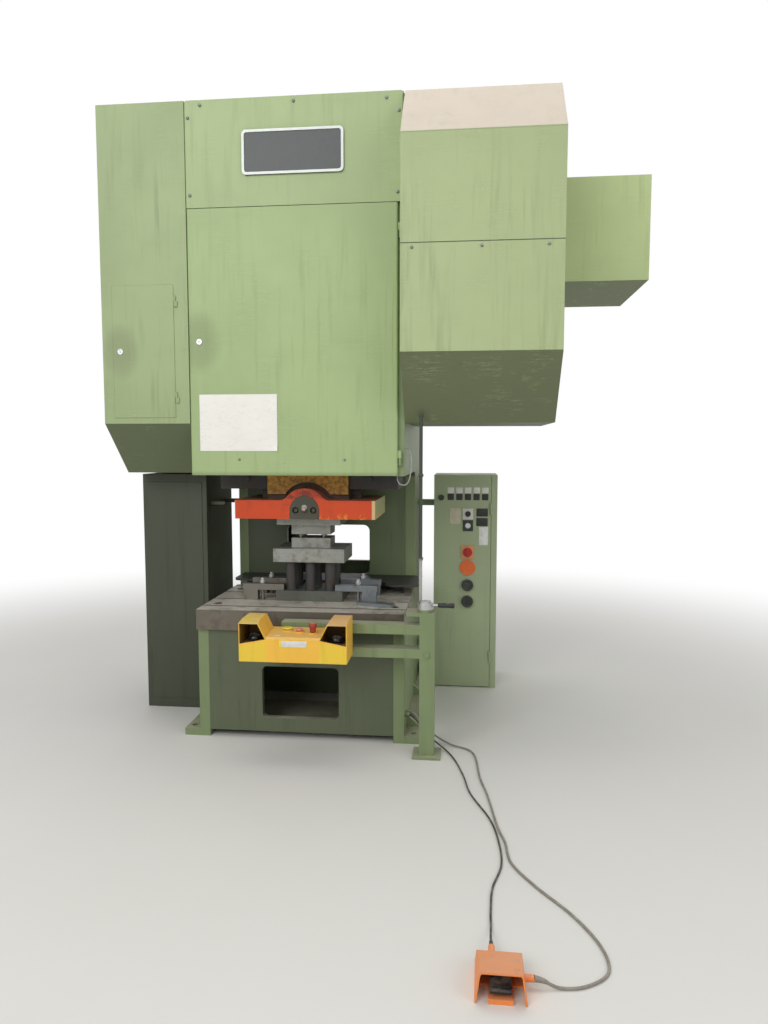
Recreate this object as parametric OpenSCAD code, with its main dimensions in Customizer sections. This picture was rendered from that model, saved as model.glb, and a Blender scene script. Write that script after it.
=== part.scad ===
// Eccentric stamping press with a C frame, flywheel drive, guards and controls.
// X is to the right, Y to the back and Z up. The origin is on the floor, under the ram's axis.

/* [Frame] */
// Width over the two side plates
frame_w = 1180; // [1140:10:1220]
// Thickness of each side plate
plate_t = 60; // [50:5:70]
// Reach of the side plates ahead of the ram's axis
frame_front = 400; // [385:5:410]
// Reach of the frame behind the ram's axis
frame_back = 1080; // [1000:10:1150]
// Height of the side plates
frame_h = 3500; // [3450:10:3600]
// Distance from the ram's axis to the throat wall
throat_d = 430; // [425:5:460]
// Height of the underside of the head
head_z = 1500; // [1490:5:1520]
// Height of the bed
bed_z = 629; // [600:5:650]
// Thickness of the webs across the frame
web_t = 40; // [30:5:50]
// Width of the window in the throat wall
window_w = 555; // [450:5:600]
// Height of the window in the throat wall
window_h = 330; // [250:10:340]
// Width of each foot outside the side plate
foot_w = 90; // [80:5:100]
// Thickness of the feet
foot_t = 40; // [30:5:50]
// Radius of the anchor holes in the feet
anchor_r = 18; // [14:1:20]

/* [Bolster and tool] */
// Thickness of the bolster
bolster_t = 115; // [105:5:130]
// Reach of the bolster ahead of the ram's axis
bolster_front = 430; // [410:5:450]
// Reach of the bolster behind the ram's axis
bolster_back = 365; // [345:5:368]
// Distance between neighbouring T-slots
slot_pitch = 210; // [205:5:220]
// Width of a T-slot's neck
slot_neck = 22; // [18:1:24]
// Width of a T-slot's foot
slot_foot_w = 38; // [34:1:42]
// Height of a T-slot's foot
slot_foot_h = 17; // [14:1:20]
// Depth of a T-slot
slot_depth = 42; // [38:1:48]
// Width of the tool's base plate
die_base_w = 400; // [380:10:420]
// Thickness of the tool's base plate
die_base_t = 62; // [50:2:66]
// Radius of the tool's columns
column_r = 31; // [26:1:33]
// Height of the tool's columns
column_h = 172; // [160:2:180]
// Distance between neighbouring columns
column_pitch = 118; // [110:2:124]
// Width of the plate on the columns
table_w = 427; // [400:5:440]
// Thickness of the plate on the columns
table_t = 80; // [60:5:85]
// Depth of the plates of the tool
tool_d = 310; // [290:5:320]
// Width of the die and punch blocks
block_w = 236; // [220:4:250]
// Depth of the die and punch blocks
block_d = 160; // [140:5:180]
// Height of the lower block
die_h = 57; // [50:1:60]
// Opening between the two blocks with the ram down
shut_gap = 22; // [18:1:26]
// Radius of a punch
punch_r = 7; // [5:0.5:8]

/* [Ram and drive] */
// Thickness of the ram's flange
flange_t = 108; // [100:2:115]
// Width of the ram's flange
flange_w = 820; // [780:10:850]
// Reach of the ram's flange ahead of its axis
flange_front = 250; // [240:5:260]
// Reach of the ram's flange behind its axis
flange_back = 270; // [250:5:280]
// Width of the slide body
slide_w = 480; // [460:10:500]
// Height of the slide body above the flange
slide_h = 597; // [580:1:620]
// Travel of the ram as it is set
stroke = 50; // [40:2:50]
// Radius of the shaft's eccentric
eccentric_r = 100; // [95:1:105]
// Radius of the stroke sleeve round the eccentric
sleeve_r = 140; // [136:1:145]
// Offset of the eccentric from the shaft's axis
eccentric_offset = 40; // [34:1:40]
// Radius of the crankshaft's journals
journal_r = 80; // [70:1:84]
// Depth of the crankshaft's axis below the top of the side plates
crank_drop = 855; // [840:5:870]
// Radius of the ball at the end of the ball screw
ball_r = 62; // [55:1:64]
// Radius of the flywheel
flywheel_r = 560; // [520:10:580]
// Width of the flywheel's rim
rim_w = 200; // [170:5:220]
// Radius of the motor's pulley
pulley_r = 110; // [95:5:115]
// Number of drive belts
belt_count = 5; // [3:1:6]
// Radius of the motor's body
motor_r = 175; // [160:5:180]

/* [Covers] */
// Thickness of the sheet metal
sheet_t = 4; // [3:0.5:5]
// Distance of the head's front from the ram's axis
head_front = 430; // [428:1:440]
// Width of the left cover
left_cover_w = 494; // [460:2:520]
// Height of the chamfer at the left cover's foot
left_chamfer = 283; // [264:1:294]
// Height of the left cover's underside
left_cover_z = 1506; // [1505:1:1520]
// Height of the main door's lower edge
door_z = 1503; // [1502:1:1510]
// Height of the upper cover, down to the seam above the main door
upper_cover_h = 555; // [540:5:600]
// Width of the left door
left_door_w = 352; // [320:2:380]
// Height of the left door
left_door_h = 722; // [680:2:740]
// Width of the flywheel guard
guard_w = 800; // [800:10:840]
// Reach of the flywheel guard ahead of the ram's axis
guard_front = 710; // [700:5:730]
// Height of the seam in the flywheel guard above the crankshaft's axis
guard_seam = 15; // [10:1:20]
// Width of the motor housing
housing_w = 612; // [560:4:640]
// Height of the motor housing
housing_h = 614; // [600:2:640]
// Width of the nameplate
nameplate_w = 550; // [500:10:580]
// Height of the nameplate
nameplate_h = 232; // [200:4:250]

/* [Controls] */
// Width of the control cabinet
cabinet_w = 427; // [420:1:450]
// Depth of the control cabinet
cabinet_d = 400; // [350:10:450]
// Height of the control cabinet
cabinet_h = 1467; // [1440:1:1480]
// Width of the two-hand console
console_w = 562; // [540:2:600]
// Depth of the two-hand console
console_d = 200; // [190:5:210]
// Radius of a palm button
palm_r = 38; // [34:1:40]
// Travel of a palm button
palm_travel = 8; // [4:1:10]
// Travel of a small push button
button_travel = 4; // [2:0.5:5]
// Width of the foot switch
pedal_w = 160; // [150:2:180]
// Length of the foot switch
pedal_l = 166; // [160:2:190]
// Height of the foot switch's hood at its mouth
pedal_h = 98; // [94:1:110]

/* [Hidden] */
$fn = 64;

// Clearances
fit = 0.3;
run = 0.05;
e = 1;

// Frame
fx = frame_w / 2;
crank_z = frame_h - crank_drop;
ix = fx - plate_t;
throat_r = 60;
window_x = 12;
window_z = 815;
window_r = 40;
bed_t = 69;
foot_z_front = -frame_front + 60;
foot_z_back = frame_back - 60;
anchor_x = fx + foot_w - 40;
bearing_r = 150;

// Bolster and tool
bolster_z = bed_z + bolster_t;
slot_edge = 15;
slots = [for (i = [-1.5:1:1.5])
    if (abs(i) * slot_pitch + slot_foot_w / 2 + slot_edge < bolster_back) i * slot_pitch];
clamped_slots = [-0.5, 0.5] * slot_pitch;
drop_r = 80;
base_top = bolster_z + die_base_t;
table_z = base_top + column_h;
block_z = table_z + table_t;
die_top = block_z + die_h;
punch_z = die_top + shut_gap;
tool_y = 10;
block_y = 10;
punches = [for (x = [-70, 70], y = [-30, 50]) [x, y]];
strap_t = 36;
strap_w = 50;
strap_reach = 205;
strap_gap = 6;
clamp_x = die_base_w / 2 + 90;
strap_x0 = column_pitch + column_r + strap_gap;
strap_x1 = die_base_w / 2 + strap_reach;
loose_strap = [410, -225];

// Ram: the flange's underside follows the tool's height
upper_flange_t = 45;
punch_block_h = 63;
ram_z = punch_z + punch_block_h + upper_flange_t;
flange_top = ram_z + flange_t;
slide_front = 130;
slide_plate_t = 26;
arch_gap = 30;
slide_back = 170;
slide_top = flange_top + slide_h;
tongue_w = 60;
tongue_y = 40;
hump_r = 130;
hump_z = flange_top + 70 - hump_r;
hump_fillet = 60;
clamp_r = 86;
clamp_z = ram_z + 49;
shank_r = 30;
shank_h = 100;
post_bottom = head_z - 88;
post_top = crank_z - 445;
gib_outer = 425;

// Drive
crank_r = stroke / 2;
rod_z = crank_z - crank_r;
ball_z = flange_top + 207;
pocket_r = 95;
pocket_floor = ball_z - 30;
ball_gap = 6;
screw_r = 45;
rod_w = 95;
eye_r = 205;
rod_boss_r = 85;
quill_r = 110;
quill_end = fx + 390;
rim_x = fx + 130;
flywheel_hub_r = 170;
belt_x = rim_x + rim_w / 2;
belt_pitch = 25;
belt_top = 11;
belt_bottom = 7;
belt_h = 14;
groove_h = 16;
shaft_end = fx + 710;
clutch_r = 270;
motor_y = 750;
motor_z = crank_z + 322;
motor_x0 = fx + 450;
motor_l = 600;
rotor_r = 30;

// Covers
cover_gap = 10;
lx = -fx - cover_gap;
lip = head_front - frame_front;
cover_right = fx - 7;
door_left = lx + 2;
door_right = fx - 36;
door_top_z = frame_h - upper_cover_h;
door_hinges = [door_z + 57, door_top_z - 185];
hinge_x = door_right + 12;
hinge_y = -head_front + 12;
hinge_r = 9;
pin_r = 6;
left_back = 500;
left_chamfer_z = left_cover_z + left_chamfer;
left_door_x = lx - 80;
left_door_z = left_chamfer_z + 33;
lock_r = 11;
main_lock = [door_left + 60, door_z + 730];
left_lock = [left_door_x - left_door_w + 42, left_door_z + left_door_h / 2 + 2];
guard_seam_z = crank_z + guard_seam;
guard_low_z = crank_z - 855;
guard_back = 1000;
gx = fx + guard_w;
hx = gx + housing_w;
housing_y0 = 300;
housing_y1 = 1190;
housing_z = guard_seam_z;
pipe_r = 65;

// Cabinets
cabinet_x = fx + 114;
cabinet_y = 660;
cab_door_w = 384.7;
cab_door_t = 21.7;
cab_hinge_x = cabinet_x + cab_door_w + 1.3;
cab_hinge_y = cabinet_y - 8;
cab_hinge_r = 7;
button_z = cabinet_h - 148;
button_x = [for (i = [0:4]) cabinet_x + 113 + i * 58];
button_r = 15;
dial_x = cabinet_x + 230;
dial_z = button_z - 115;
key_z = dial_z - 80;
main_z = dial_z - 261;
service_x = -fx - foot_w - 4;
service_w = 410;
service_y = 54;
service_d = 506;
service_h = left_cover_z - 16;
service_t = 3;

// Console and its frame
console_x = 50;
console_y = -800;
console_back = console_y + console_d;
console_z = 560;
deck_front_z = 690;
deck_back_z = 699;
hood_top_z = 770;
hood_lip_z = 760;
hood_floor_z = 646;
hood_w = 142;
hood_lean = 44;
palm_x = console_w / 2 - 64;
palm_y = console_y + 85;
palm_boss_h = 5;
palm_head_h = 36;
collar_h = 5;
post_x = fx + 95;
post_w = 80;
post_y = -580;
bar_x = -60;
bar_z = 668;
bar_t = 52;
top_plate_z = 767;
lever_x = post_x + 27;
lever_y = post_y + 40;
lever_hub_r = 40;
pipe_x = post_x - 2;
pipe_y = post_y + 114;

// Foot switch
pedal_x = 968;
pedal_y = -2387;
hood_t = 5;
hood_back_h = 62;
switch_lean = 12;
hood_taper = 3;
pedal_plate_t = 6;
pedal_lip_h = 15;
pedal_axis_y = pedal_y + pedal_l - 40;
pedal_axis_z = 40;
pedal_half = 33;
cord_r = 5;
lead_r = 4;
loop_r = 3.3;
gland_r = 11;
cable_exit = [fx + 26, -300, 150];
lead_exit = [fx + 26, -345, 150];
cable_end = [pedal_x + pedal_w + 24, pedal_y + 84, 32];
lead_end = [pedal_x + 57, pedal_y + pedal_l + 50, 36];

// The routes of the two cables on the floor, from the press to the foot switch
cable_route = [
    cable_exit, [640, -305, 142], [690, -330, 92], [760, -360, 42], [850, -410, 12], [972, -502, 6],
    [1007, -815, 6], [1040, -1010, 6], [1075, -1299, 6], [1103, -1440, 6], [1120, -1597, 6],
    [1200, -1750, 6], [1310, -1910, 6], [1378, -2050, 6], [1400, -2160, 6], [1380, -2235, 6],
    [1305, -2290, 6], [1230, -2304, 8], [1182, -2303, 26], cable_end,
];
lead_route = [
    lead_exit, [640, -352, 140], [690, -384, 92], [756, -430, 42], [826, -488, 10], [878, -610, 6],
    [924, -800, 6], [960, -1000, 6], [1046, -1246, 6], [1078, -1450, 6], [1080, -1620, 6], [1041, -1780, 6],
    [1030, -1920, 6], [1028, -2020, 8], [1025, -2100, 26], lead_end,
];
loop_route = [
    [fx - 42, -370, head_z], [548, -374, 1480], [562, -380, 1458], [590, -384, 1452],
    [612, -384, 1475], [622, -380, 1530], [624, -374, 1590], [618, -368, 1632],
    [605, -364, 1648], [fx, -362, 1652],
];

// A box between two corners
module box(a, b) {
    translate(a) cube(b - a);
}

// Round bars along the three axes
module xrod(r, x0, x1, y, z) {
    translate([x0, y, z]) rotate([0, 90, 0]) cylinder(r = r, h = x1 - x0);
}
module yrod(r, y0, y1, x, z) {
    translate([x, y1, z]) rotate([90, 0, 0]) cylinder(r = r, h = y1 - y0);
}
module zrod(r, z0, z1, x, y) {
    translate([x, y, z0]) cylinder(r = r, h = z1 - z0);
}

// Outlines drawn in the YZ, XZ and XY planes and extruded across them
module yz_prism(x0, x1) {
    translate([x0, 0, 0]) rotate([90, 0, 90]) linear_extrude(x1 - x0) children();
}
module xz_prism(y0, y1) {
    translate([0, y1, 0]) rotate([90, 0, 0]) linear_extrude(y1 - y0) children();
}
module xy_prism(z0, z1) {
    translate([0, 0, z0]) linear_extrude(z1 - z0) children();
}

// A rectangle with four round corners
module round_rect(x0, y0, x1, y1, r) {
    translate([x0 + r, y0]) square([x1 - x0 - 2 * r, y1 - y0]);
    translate([x0, y0 + r]) square([x1 - x0, y1 - y0 - 2 * r]);
    for (x = [x0 + r, x1 - r], y = [y0 + r, y1 - r]) translate([x, y]) circle(r);
}

// A polygon moved inwards by t. The points run anticlockwise.
function unit(v) = v / norm(v);
function inset(p, t) = [
    for (i = [0:len(p) - 1])
    let (
        u = unit(p[i] - p[(i + len(p) - 1) % len(p)]),
        v = unit(p[(i + 1) % len(p)] - p[i]),
        n = [-u[1], u[0]],
        m = [-v[1], v[0]]
    )
    p[i] + (n + m) * t / (1 + n * m)
];

// A hex head with a washer, seated at the origin and pointing along +Z
module hex_head(r, h) {
    cylinder(r = r * 1.15, h = 3);
    translate([0, 0, 3]) cylinder(r = r, h = h, $fn = 6);
}

// A panel of folded sheet with a lip all round, its face at y and its vertical folds rounded
module folded_panel(x0, x1, z0, z1, y, depth) {
    r = 10;
    difference() {
        xy_prism(z0, z1) difference() {
            translate([x0, y]) square([x1 - x0, depth]);
            for (x = [x0, x1]) translate([x - r, y - r]) square([2 * r, 2 * r]);
        }
        box([x0 + sheet_t, y + sheet_t, z0 + sheet_t], [x1 - sheet_t, y + depth + e, z1 - sheet_t]);
    }
    for (s = [[x0 + r, x0 + r, 180], [x1 - r, x1 - r, 270]])
        translate([s[0], y + r, z0]) rotate([0, 0, s[2]])
            rotate_extrude(angle = 90) translate([r - sheet_t, 0]) square([sheet_t, z1 - z0]);
    for (z = [z0, z1 - sheet_t], s = [[x0 + r, 180], [x1 - r, 270]])
        translate([s[0], y + r, z]) rotate([0, 0, s[1]])
            rotate_extrude(angle = 90) square([r, sheet_t]);
}

// The side plates
module throat_outline() {
    y0 = -frame_front - e;
    y1 = throat_d;
    translate([y0, bed_z]) square([y1 - throat_r - y0, head_z - bed_z]);
    translate([y0, bed_z + throat_r]) square([y1 - y0, head_z - bed_z - 2 * throat_r]);
    for (z = [bed_z + throat_r, head_z - throat_r]) translate([y1 - throat_r, z]) circle(throat_r);
}

module side_plate() {
    difference() {
        union() {
            yz_prism(ix, fx) difference() {
                translate([-frame_front, 0]) square([frame_front + frame_back, frame_h]);
                throat_outline();
            }
            box([fx, -frame_front, 0], [fx + foot_w, frame_back, foot_t]);
            for (y = [-frame_front + 180, 340, frame_back - 180])
                yz_gusset(y);
        }
        xrod(bearing_r + fit, ix - e, fx + e, 0, crank_z);
        for (y = [foot_z_front, foot_z_back]) zrod(anchor_r, -e, foot_t + e, anchor_x, y);
    }
}

module yz_gusset(y) {
    xz_prism(y - 12, y + 12)
        polygon([[fx, foot_t], [fx + foot_w - 10, foot_t], [fx, foot_t + 70]]);
}

module side_plates() color([0.66, 0.73, 0.53]) {
    side_plate();
    mirror([1, 0, 0]) side_plate();
    for (z = door_hinges) hinge_half_fixed(z);
    for (p = [cable_exit, lead_exit]) xrod(gland_r, fx - e, p[0], p[1], p[2]);
}

// Lift-off hinge of the main door: the fixed half has the pin
module hinge_half_fixed(z) {
    zrod(hinge_r, z, z + 40, hinge_x, hinge_y);
    zrod(pin_r - run, z + 40, z + 78, hinge_x, hinge_y);
    box([hinge_x - 5, hinge_y, z], [hinge_x + 5, -frame_front, z + 40]);
}

// The webs between the side plates: throat wall with head floor, and rear wall
module window_cut(y0, y1) {
    xz_prism(y0, y1)
        round_rect(window_x - window_w / 2, window_z, window_x + window_w / 2,
            window_z + window_h, window_r);
}

module column_webs() color([0.5, 0.57, 0.38]) {
    difference() {
        union() {
            box([-ix, throat_d, 0], [ix, throat_d + web_t, head_z + web_t]);
            box([-ix, slide_back + 60, head_z], [ix, throat_d + e, head_z + web_t]);
        }
        window_cut(throat_d - e, throat_d + web_t + e);
    }
    difference() {
        box([-ix, frame_back - web_t, 100], [ix, frame_back, frame_h - 100]);
        window_cut(frame_back - web_t - e, frame_back + e);
    }
}

// The bed: table plate with a drop opening, and the apron with the scrap chute's mouth
module bed() color([0.6, 0.68, 0.46]) difference() {
    union() {
        box([-ix, -frame_front, bed_z - bed_t], [ix, throat_d, bed_z]);
        box([-ix, -frame_front, 40], [ix, -frame_front + web_t, bed_z]);
        box([-ix, -150, 0], [ix, 150, 40]);
    }
    xy_prism(bed_z - bed_t - e, bed_z + e) round_rect(-150, -120, 150, 120, 20);
    xz_prism(-frame_front - e, -frame_front + web_t + e) round_rect(-220, 120, 220, 420, 30);
}

// Guide posts and the front gibs that hold the slide's tongues
module guide_post() {
    xy_prism(post_bottom, post_top) polygon([
        [ix, -slide_front], [ix, slide_back], [slide_w / 2 + fit, slide_back],
        [slide_w / 2 + fit, tongue_y + fit], [slide_w / 2 + tongue_w + fit, tongue_y + fit],
        [slide_w / 2 + tongue_w + fit, -tongue_y - fit], [gib_outer, -tongue_y - fit],
        [gib_outer, -slide_front],
    ]);
}

module guide_posts() color([0.16, 0.18, 0.17]) {
    guide_post();
    mirror([1, 0, 0]) guide_post();
}

module gib() {
    box([slide_w / 2 + fit, -slide_front, post_bottom],
        [gib_outer - fit, -tongue_y - fit, post_top]);
    for (z = [post_bottom + 60:170:post_top - 60])
        translate([gib_outer - 60, -slide_front, z]) rotate([90, 0, 0]) hex_head(17, 13);
    for (z = [post_bottom + 145:170:post_top - 60])
        translate([slide_w / 2 + 45, -slide_front, z]) rotate([90, 0, 0]) {
            hex_head(11, 8);
            cylinder(r = 6, h = 24);
        }
}

module gibs() color([0.35, 0.36, 0.36]) {
    gib();
    mirror([1, 0, 0]) gib();
}

// Screws that hold the bolster, sunk in its corners
bolster_bolt_x = fx - 70;
bolster_bolts = [for (x = [-bolster_bolt_x, bolster_bolt_x], y = [-slot_pitch - 40, slot_pitch]) [x, y]];
bolt_sink_r = 26;
bolt_sink_h = 40;
module frame_bolts() color([0.3, 0.3, 0.3]) {
    for (b = bolster_bolts) difference() {
        zrod(18, bolster_z - bolt_sink_h, bolster_z - 12, b[0], b[1]);
        translate([b[0], b[1], bolster_z - 26]) cylinder(r = 10, h = 20, $fn = 6);
    }
}

// Bearing housings. The right one is longer: the flywheel turns on it.
module bearing(outer) {
    difference() {
        union() {
            xrod(bearing_r, 280, fx, 0, crank_z);
            xrod(bearing_r + 50, ix - 40, ix, 0, crank_z);
            if (outer > fx) xrod(quill_r, fx - e, outer, 0, crank_z);
            for (a = [22.5:45:359])
                translate([ix - 40, (bearing_r + 28) * cos(a), crank_z + (bearing_r + 28) * sin(a)])
                    rotate([0, -90, 0]) hex_head(12, 10);
        }
        xrod(journal_r + run, 279, fx + e, 0, crank_z);
        if (outer > fx) xrod(journal_r + 15, fx, outer + e, 0, crank_z);
    }
}

module crank_bearings() color([0.45, 0.47, 0.45]) {
    bearing(quill_end);
    mirror([1, 0, 0]) bearing(fx);
}

// The bolster with its T-slots
module bolster() color([0.48, 0.45, 0.42]) difference() {
    box([-fx, -bolster_front, bed_z], [fx, bolster_back, bolster_z]);
    for (y = slots) {
        box([-fx - e, y - slot_neck / 2, bolster_z - slot_depth],
            [fx + e, y + slot_neck / 2, bolster_z + e]);
        box([-fx - e, y - slot_foot_w / 2, bolster_z - slot_depth],
            [fx + e, y + slot_foot_w / 2, bolster_z - slot_depth + slot_foot_h]);
    }
    zrod(drop_r, bed_z - e, bolster_z + e, 0, 0);
    for (b = bolster_bolts) zrod(bolt_sink_r, bolster_z - bolt_sink_h, bolster_z + e, b[0], b[1]);
}

// Support table behind the tool, on four spacers
rear_table_y = 180;
rear_table_t = 12;
rear_table_z = 803;
module rear_table() color([0.3, 0.31, 0.31]) {
    x0 = -fx + 30;
    x1 = fx + 50;
    notch_x = die_base_w / 2 + 230;
    y1 = throat_d - fit;
    xy_prism(rear_table_z, rear_table_z + rear_table_t) {
        round_rect(x0, rear_table_y, x1, y1, 50);
        translate([x0, rear_table_y + 50]) square([x1 - x0, y1 - rear_table_y - 50]);
        round_rect(notch_x, 60, x1, y1, 50);
    }
    for (p = [[x0 + 50, bolster_back - 60], [-300, bolster_back - 60], [fx - 130, bolster_back - 60],
        [notch_x + 40, 240]])
        box([p[0], p[1], bolster_z], [p[0] + 60, p[1] + 50, rear_table_z + e]);
}

// The tool: base, columns, the plate on them with the lower block, and the clamps
module die_base() color([0.42, 0.43, 0.43])
    difference() {
        box([-die_base_w / 2, tool_y - 150, bolster_z], [die_base_w / 2, tool_y + 150, base_top]);
        xy_prism(bolster_z - e, base_top + e) round_rect(-45, -40, 45, 60, 12);
    }

module die_columns() color([0.3, 0.3, 0.32])
    for (x = [-1, 0, 1] * column_pitch, y = [tool_y - 95, tool_y + 95]) {
        zrod(column_r, base_top, table_z, x, y);
        zrod(column_r + 3, table_z - 10, table_z, x, y);
        zrod(column_r + 4, base_top, base_top + 14, x, y);
    }

module die_table() color([0.5, 0.51, 0.5]) difference() {
    union() {
        box([-table_w / 2, tool_y - tool_d / 2, table_z], [table_w / 2, tool_y + tool_d / 2, block_z]);
        box([-block_w / 2, block_y - block_d / 2, block_z - e],
            [block_w / 2, block_y + block_d / 2, die_top]);
    }
    for (p = punches) zrod(punch_r + 0.5, block_z + 4, die_top + e, p[0], p[1]);
    box([-85, block_y - 50, table_z - e], [85, block_y + 50, block_z + 5]);
}

// A clamp: heel block, strap on the base plate, and its bolt down to the T-slot
module die_clamp(y) {
    top = base_top + strap_t;
    box([strap_x0, y - strap_w / 2, base_top], [strap_x1, y + strap_w / 2, top]);
    box([strap_x1 - 90, y - strap_w / 2, bolster_z], [strap_x1 - 5, y + strap_w / 2, base_top]);
    zrod(10, bolster_z - slot_depth + 2, base_top + e, clamp_x, y);
    box([clamp_x - 17, y - slot_foot_w / 2 + 1, bolster_z - slot_depth + 1],
        [clamp_x + 17, y + slot_foot_w / 2 - 1, bolster_z - slot_depth + slot_foot_h - 1]);
    translate([clamp_x, y, top]) hex_head(17, 16);
    zrod(10, top, top + 34, clamp_x, y);
}

module die_clamps() color([0.55, 0.57, 0.6]) {
    for (y = clamped_slots) {
        die_clamp(y);
        mirror([1, 0, 0]) die_clamp(y);
    }
    translate([loose_strap[0], loose_strap[1], bolster_z]) rotate([0, 0, -14])
        xy_prism(0, 18) round_rect(-110, -30, 110, 30, 12);
}

// Covers
module upper_cover() color([0.66, 0.73, 0.53]) {
    difference() {
        folded_panel(lx, cover_right, door_top_z, frame_h, -head_front, lip);
        box([lx + sheet_t, -head_front + sheet_t, frame_h - sheet_t - e],
            [cover_right - sheet_t, 0, frame_h + e]);
    }
    box([lx + e, -head_front + 10, frame_h], [cover_right - e, frame_back, frame_h + sheet_t]);
    box([lx + 10, -head_front, frame_h - sheet_t], [cover_right - 10, -head_front + 10, frame_h + sheet_t]);
    for (p = [[-fx + 80, frame_h - 24], [0, frame_h - 24], [fx - 96, frame_h - 30],
        [lx + 22, frame_h - 86], [lx + 26, door_top_z + 66], [cover_right - 24, frame_h - 96],
        [cover_right - 31, door_top_z + 48]])
        yrod(8, -head_front - 4, -head_front + e, p[0], p[1]);
}

left_profile = [
    [-head_front, left_chamfer_z], [-head_front + left_chamfer_z - left_cover_z, left_cover_z],
    [left_back, left_cover_z], [left_back, frame_h + sheet_t], [-head_front, frame_h + sheet_t],
];
left_mounts = [left_cover_z + 494, frame_h - 300];
module left_cover() color([0.64, 0.71, 0.51]) {
    x0 = lx - left_cover_w;
    x1 = lx - fit;
    difference() {
        yz_prism(x0, x1) polygon(left_profile);
        yz_prism(x0 + sheet_t, x1 - sheet_t) polygon(inset(left_profile, sheet_t));
        xrod(200, x1 - 2 * sheet_t, x1 + e, 0, crank_z);
        box([left_door_x - left_door_w + 12, -head_front - e, left_door_z + 12],
            [left_door_x - 12, -head_front + 2 * sheet_t, left_door_z + left_door_h - 12]);
        for (y = [-200, 300], z = left_mounts) xrod(5, x1 - 2 * sheet_t, x1 + e, y, z);
    }
    for (y = [-200, 300], z = left_mounts) xrod(16, x1 - e, -fx, y, z);
    for (z = [left_door_z + 80, left_door_z + left_door_h - 120]) {
        zrod(5, z, z + 30, left_hinge_x, left_hinge_y);
        zrod(3 - run, z + 30, z + 58, left_hinge_x, left_hinge_y);
        box([left_hinge_x, left_hinge_y - 2, z], [left_hinge_x + 14, -head_front + e, z + 30]);
    }
}

// The left door lies on the cover's front
left_door_t = 3;
left_hinge_x = left_door_x + 8;
left_hinge_y = -head_front - 5.6;
module left_door() color([0.65, 0.72, 0.52]) difference() {
    union() {
        box([left_door_x - left_door_w, -head_front - fit - left_door_t, left_door_z],
            [left_door_x, -head_front - fit, left_door_z + left_door_h]);
        for (z = [left_door_z + 80, left_door_z + left_door_h - 120]) {
            zrod(5, z + 30 + fit, z + 60, left_hinge_x, left_hinge_y);
            box([left_door_x - e, -head_front - fit - left_door_t, z + 30 + fit],
                [left_hinge_x, -head_front - fit, z + 60]);
        }
    }
    for (z = [left_door_z + 80, left_door_z + left_door_h - 120])
        zrod(3, z + 29, z + 61, left_hinge_x, left_hinge_y);
    yrod(lock_r + run, -head_front - 20, -head_front + e, left_lock[0], left_lock[1]);
}

module lock(p, face) {
    difference() {
        union() {
            yrod(lock_r, face - 3, face + 14, p[0], p[1]);
            yrod(lock_r + 5, face - 4, face - fit, p[0], p[1]);
        }
        box([p[0] - 2, face - 5, p[1] - 8], [p[0] + 2, face, p[1] + 8]);
    }
}

module left_door_lock() color("silver") lock(left_lock, -head_front - fit - left_door_t);
module main_door_lock() color("silver") lock(main_lock, -head_front);

// The main door closes the head's front and turns on the right
module main_door() color([0.66, 0.74, 0.53]) difference() {
    union() {
        folded_panel(door_left, door_right, door_z, door_top_z - 3, -head_front, lip - 0.5);
        for (z = door_hinges) {
            zrod(hinge_r, z + 40 + fit, z + 80, hinge_x, hinge_y);
            box([door_right - e, hinge_y - 4, z + 40 + fit], [hinge_x, hinge_y + 4, z + 80]);
        }
        for (x = [-322, 265]) yrod(6, -head_front - 3, -head_front + e, x, door_z + 87);
    }
    for (z = door_hinges) zrod(pin_r, z + 39, z + 81, hinge_x, hinge_y);
    yrod(lock_r + run, -head_front - 5, -head_front + 2 * sheet_t, main_lock[0], main_lock[1]);
}

module nameplate() color([0.75, 0.76, 0.76]) {
    x0 = -nameplate_w / 2 - 7;
    z0 = door_top_z + 160;
    y = -head_front;
    difference() {
        xz_prism(y - 12, y) round_rect(x0, z0, x0 + nameplate_w, z0 + nameplate_h, 24);
        xz_prism(y - 13, y - 8)
            round_rect(x0 + 14, z0 + 14, x0 + nameplate_w - 14, z0 + nameplate_h - 14, 14);
    }
}

// The flywheel guard, in two shells that meet at a seam
guard_profile = [
    [-guard_front, guard_low_z + 343], [-head_front + 35, guard_low_z], [420, guard_low_z],
    [guard_back, guard_low_z + 710], [guard_back, frame_h - 170], [guard_back - 170, frame_h],
    [-head_front, frame_h], [-guard_front, frame_h - 313],
];
module guard_shell(z0, z1) difference() {
    intersection() {
        yz_prism(fx, gx) polygon(guard_profile);
        box([fx - e, -guard_front - e, z0], [gx + e, guard_back + e, z1]);
    }
    intersection() {
        yz_prism(fx + sheet_t, gx - sheet_t) polygon(inset(guard_profile, sheet_t));
        box([fx, -guard_front, z0 - e], [gx, guard_back, z1 + e]);
    }
    xrod(250, fx - e, fx + 2 * sheet_t, 0, crank_z);
}

module flywheel_guard_upper() color([0.66, 0.73, 0.53]) difference() {
    guard_shell(guard_seam_z + fit, frame_h + 10);
    box([gx - 2 * sheet_t, motor_y - 200, motor_z - 290],
        [gx + e, guard_back - 15, motor_z + motor_r + 70]);
    box([fx - e, motor_y + 120, guard_seam_z + 10], [fx + 2 * sheet_t, guard_back - 15, motor_z - 200]);
}

module flywheel_guard_lower() color([0.63, 0.7, 0.5]) {
    guard_shell(guard_low_z - 90, guard_seam_z);
    for (x = [fx + 58, fx + guard_w / 2, gx - 77])
        yrod(7, -guard_front - 4, -guard_front + e, x, guard_seam_z - 23);
}

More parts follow.
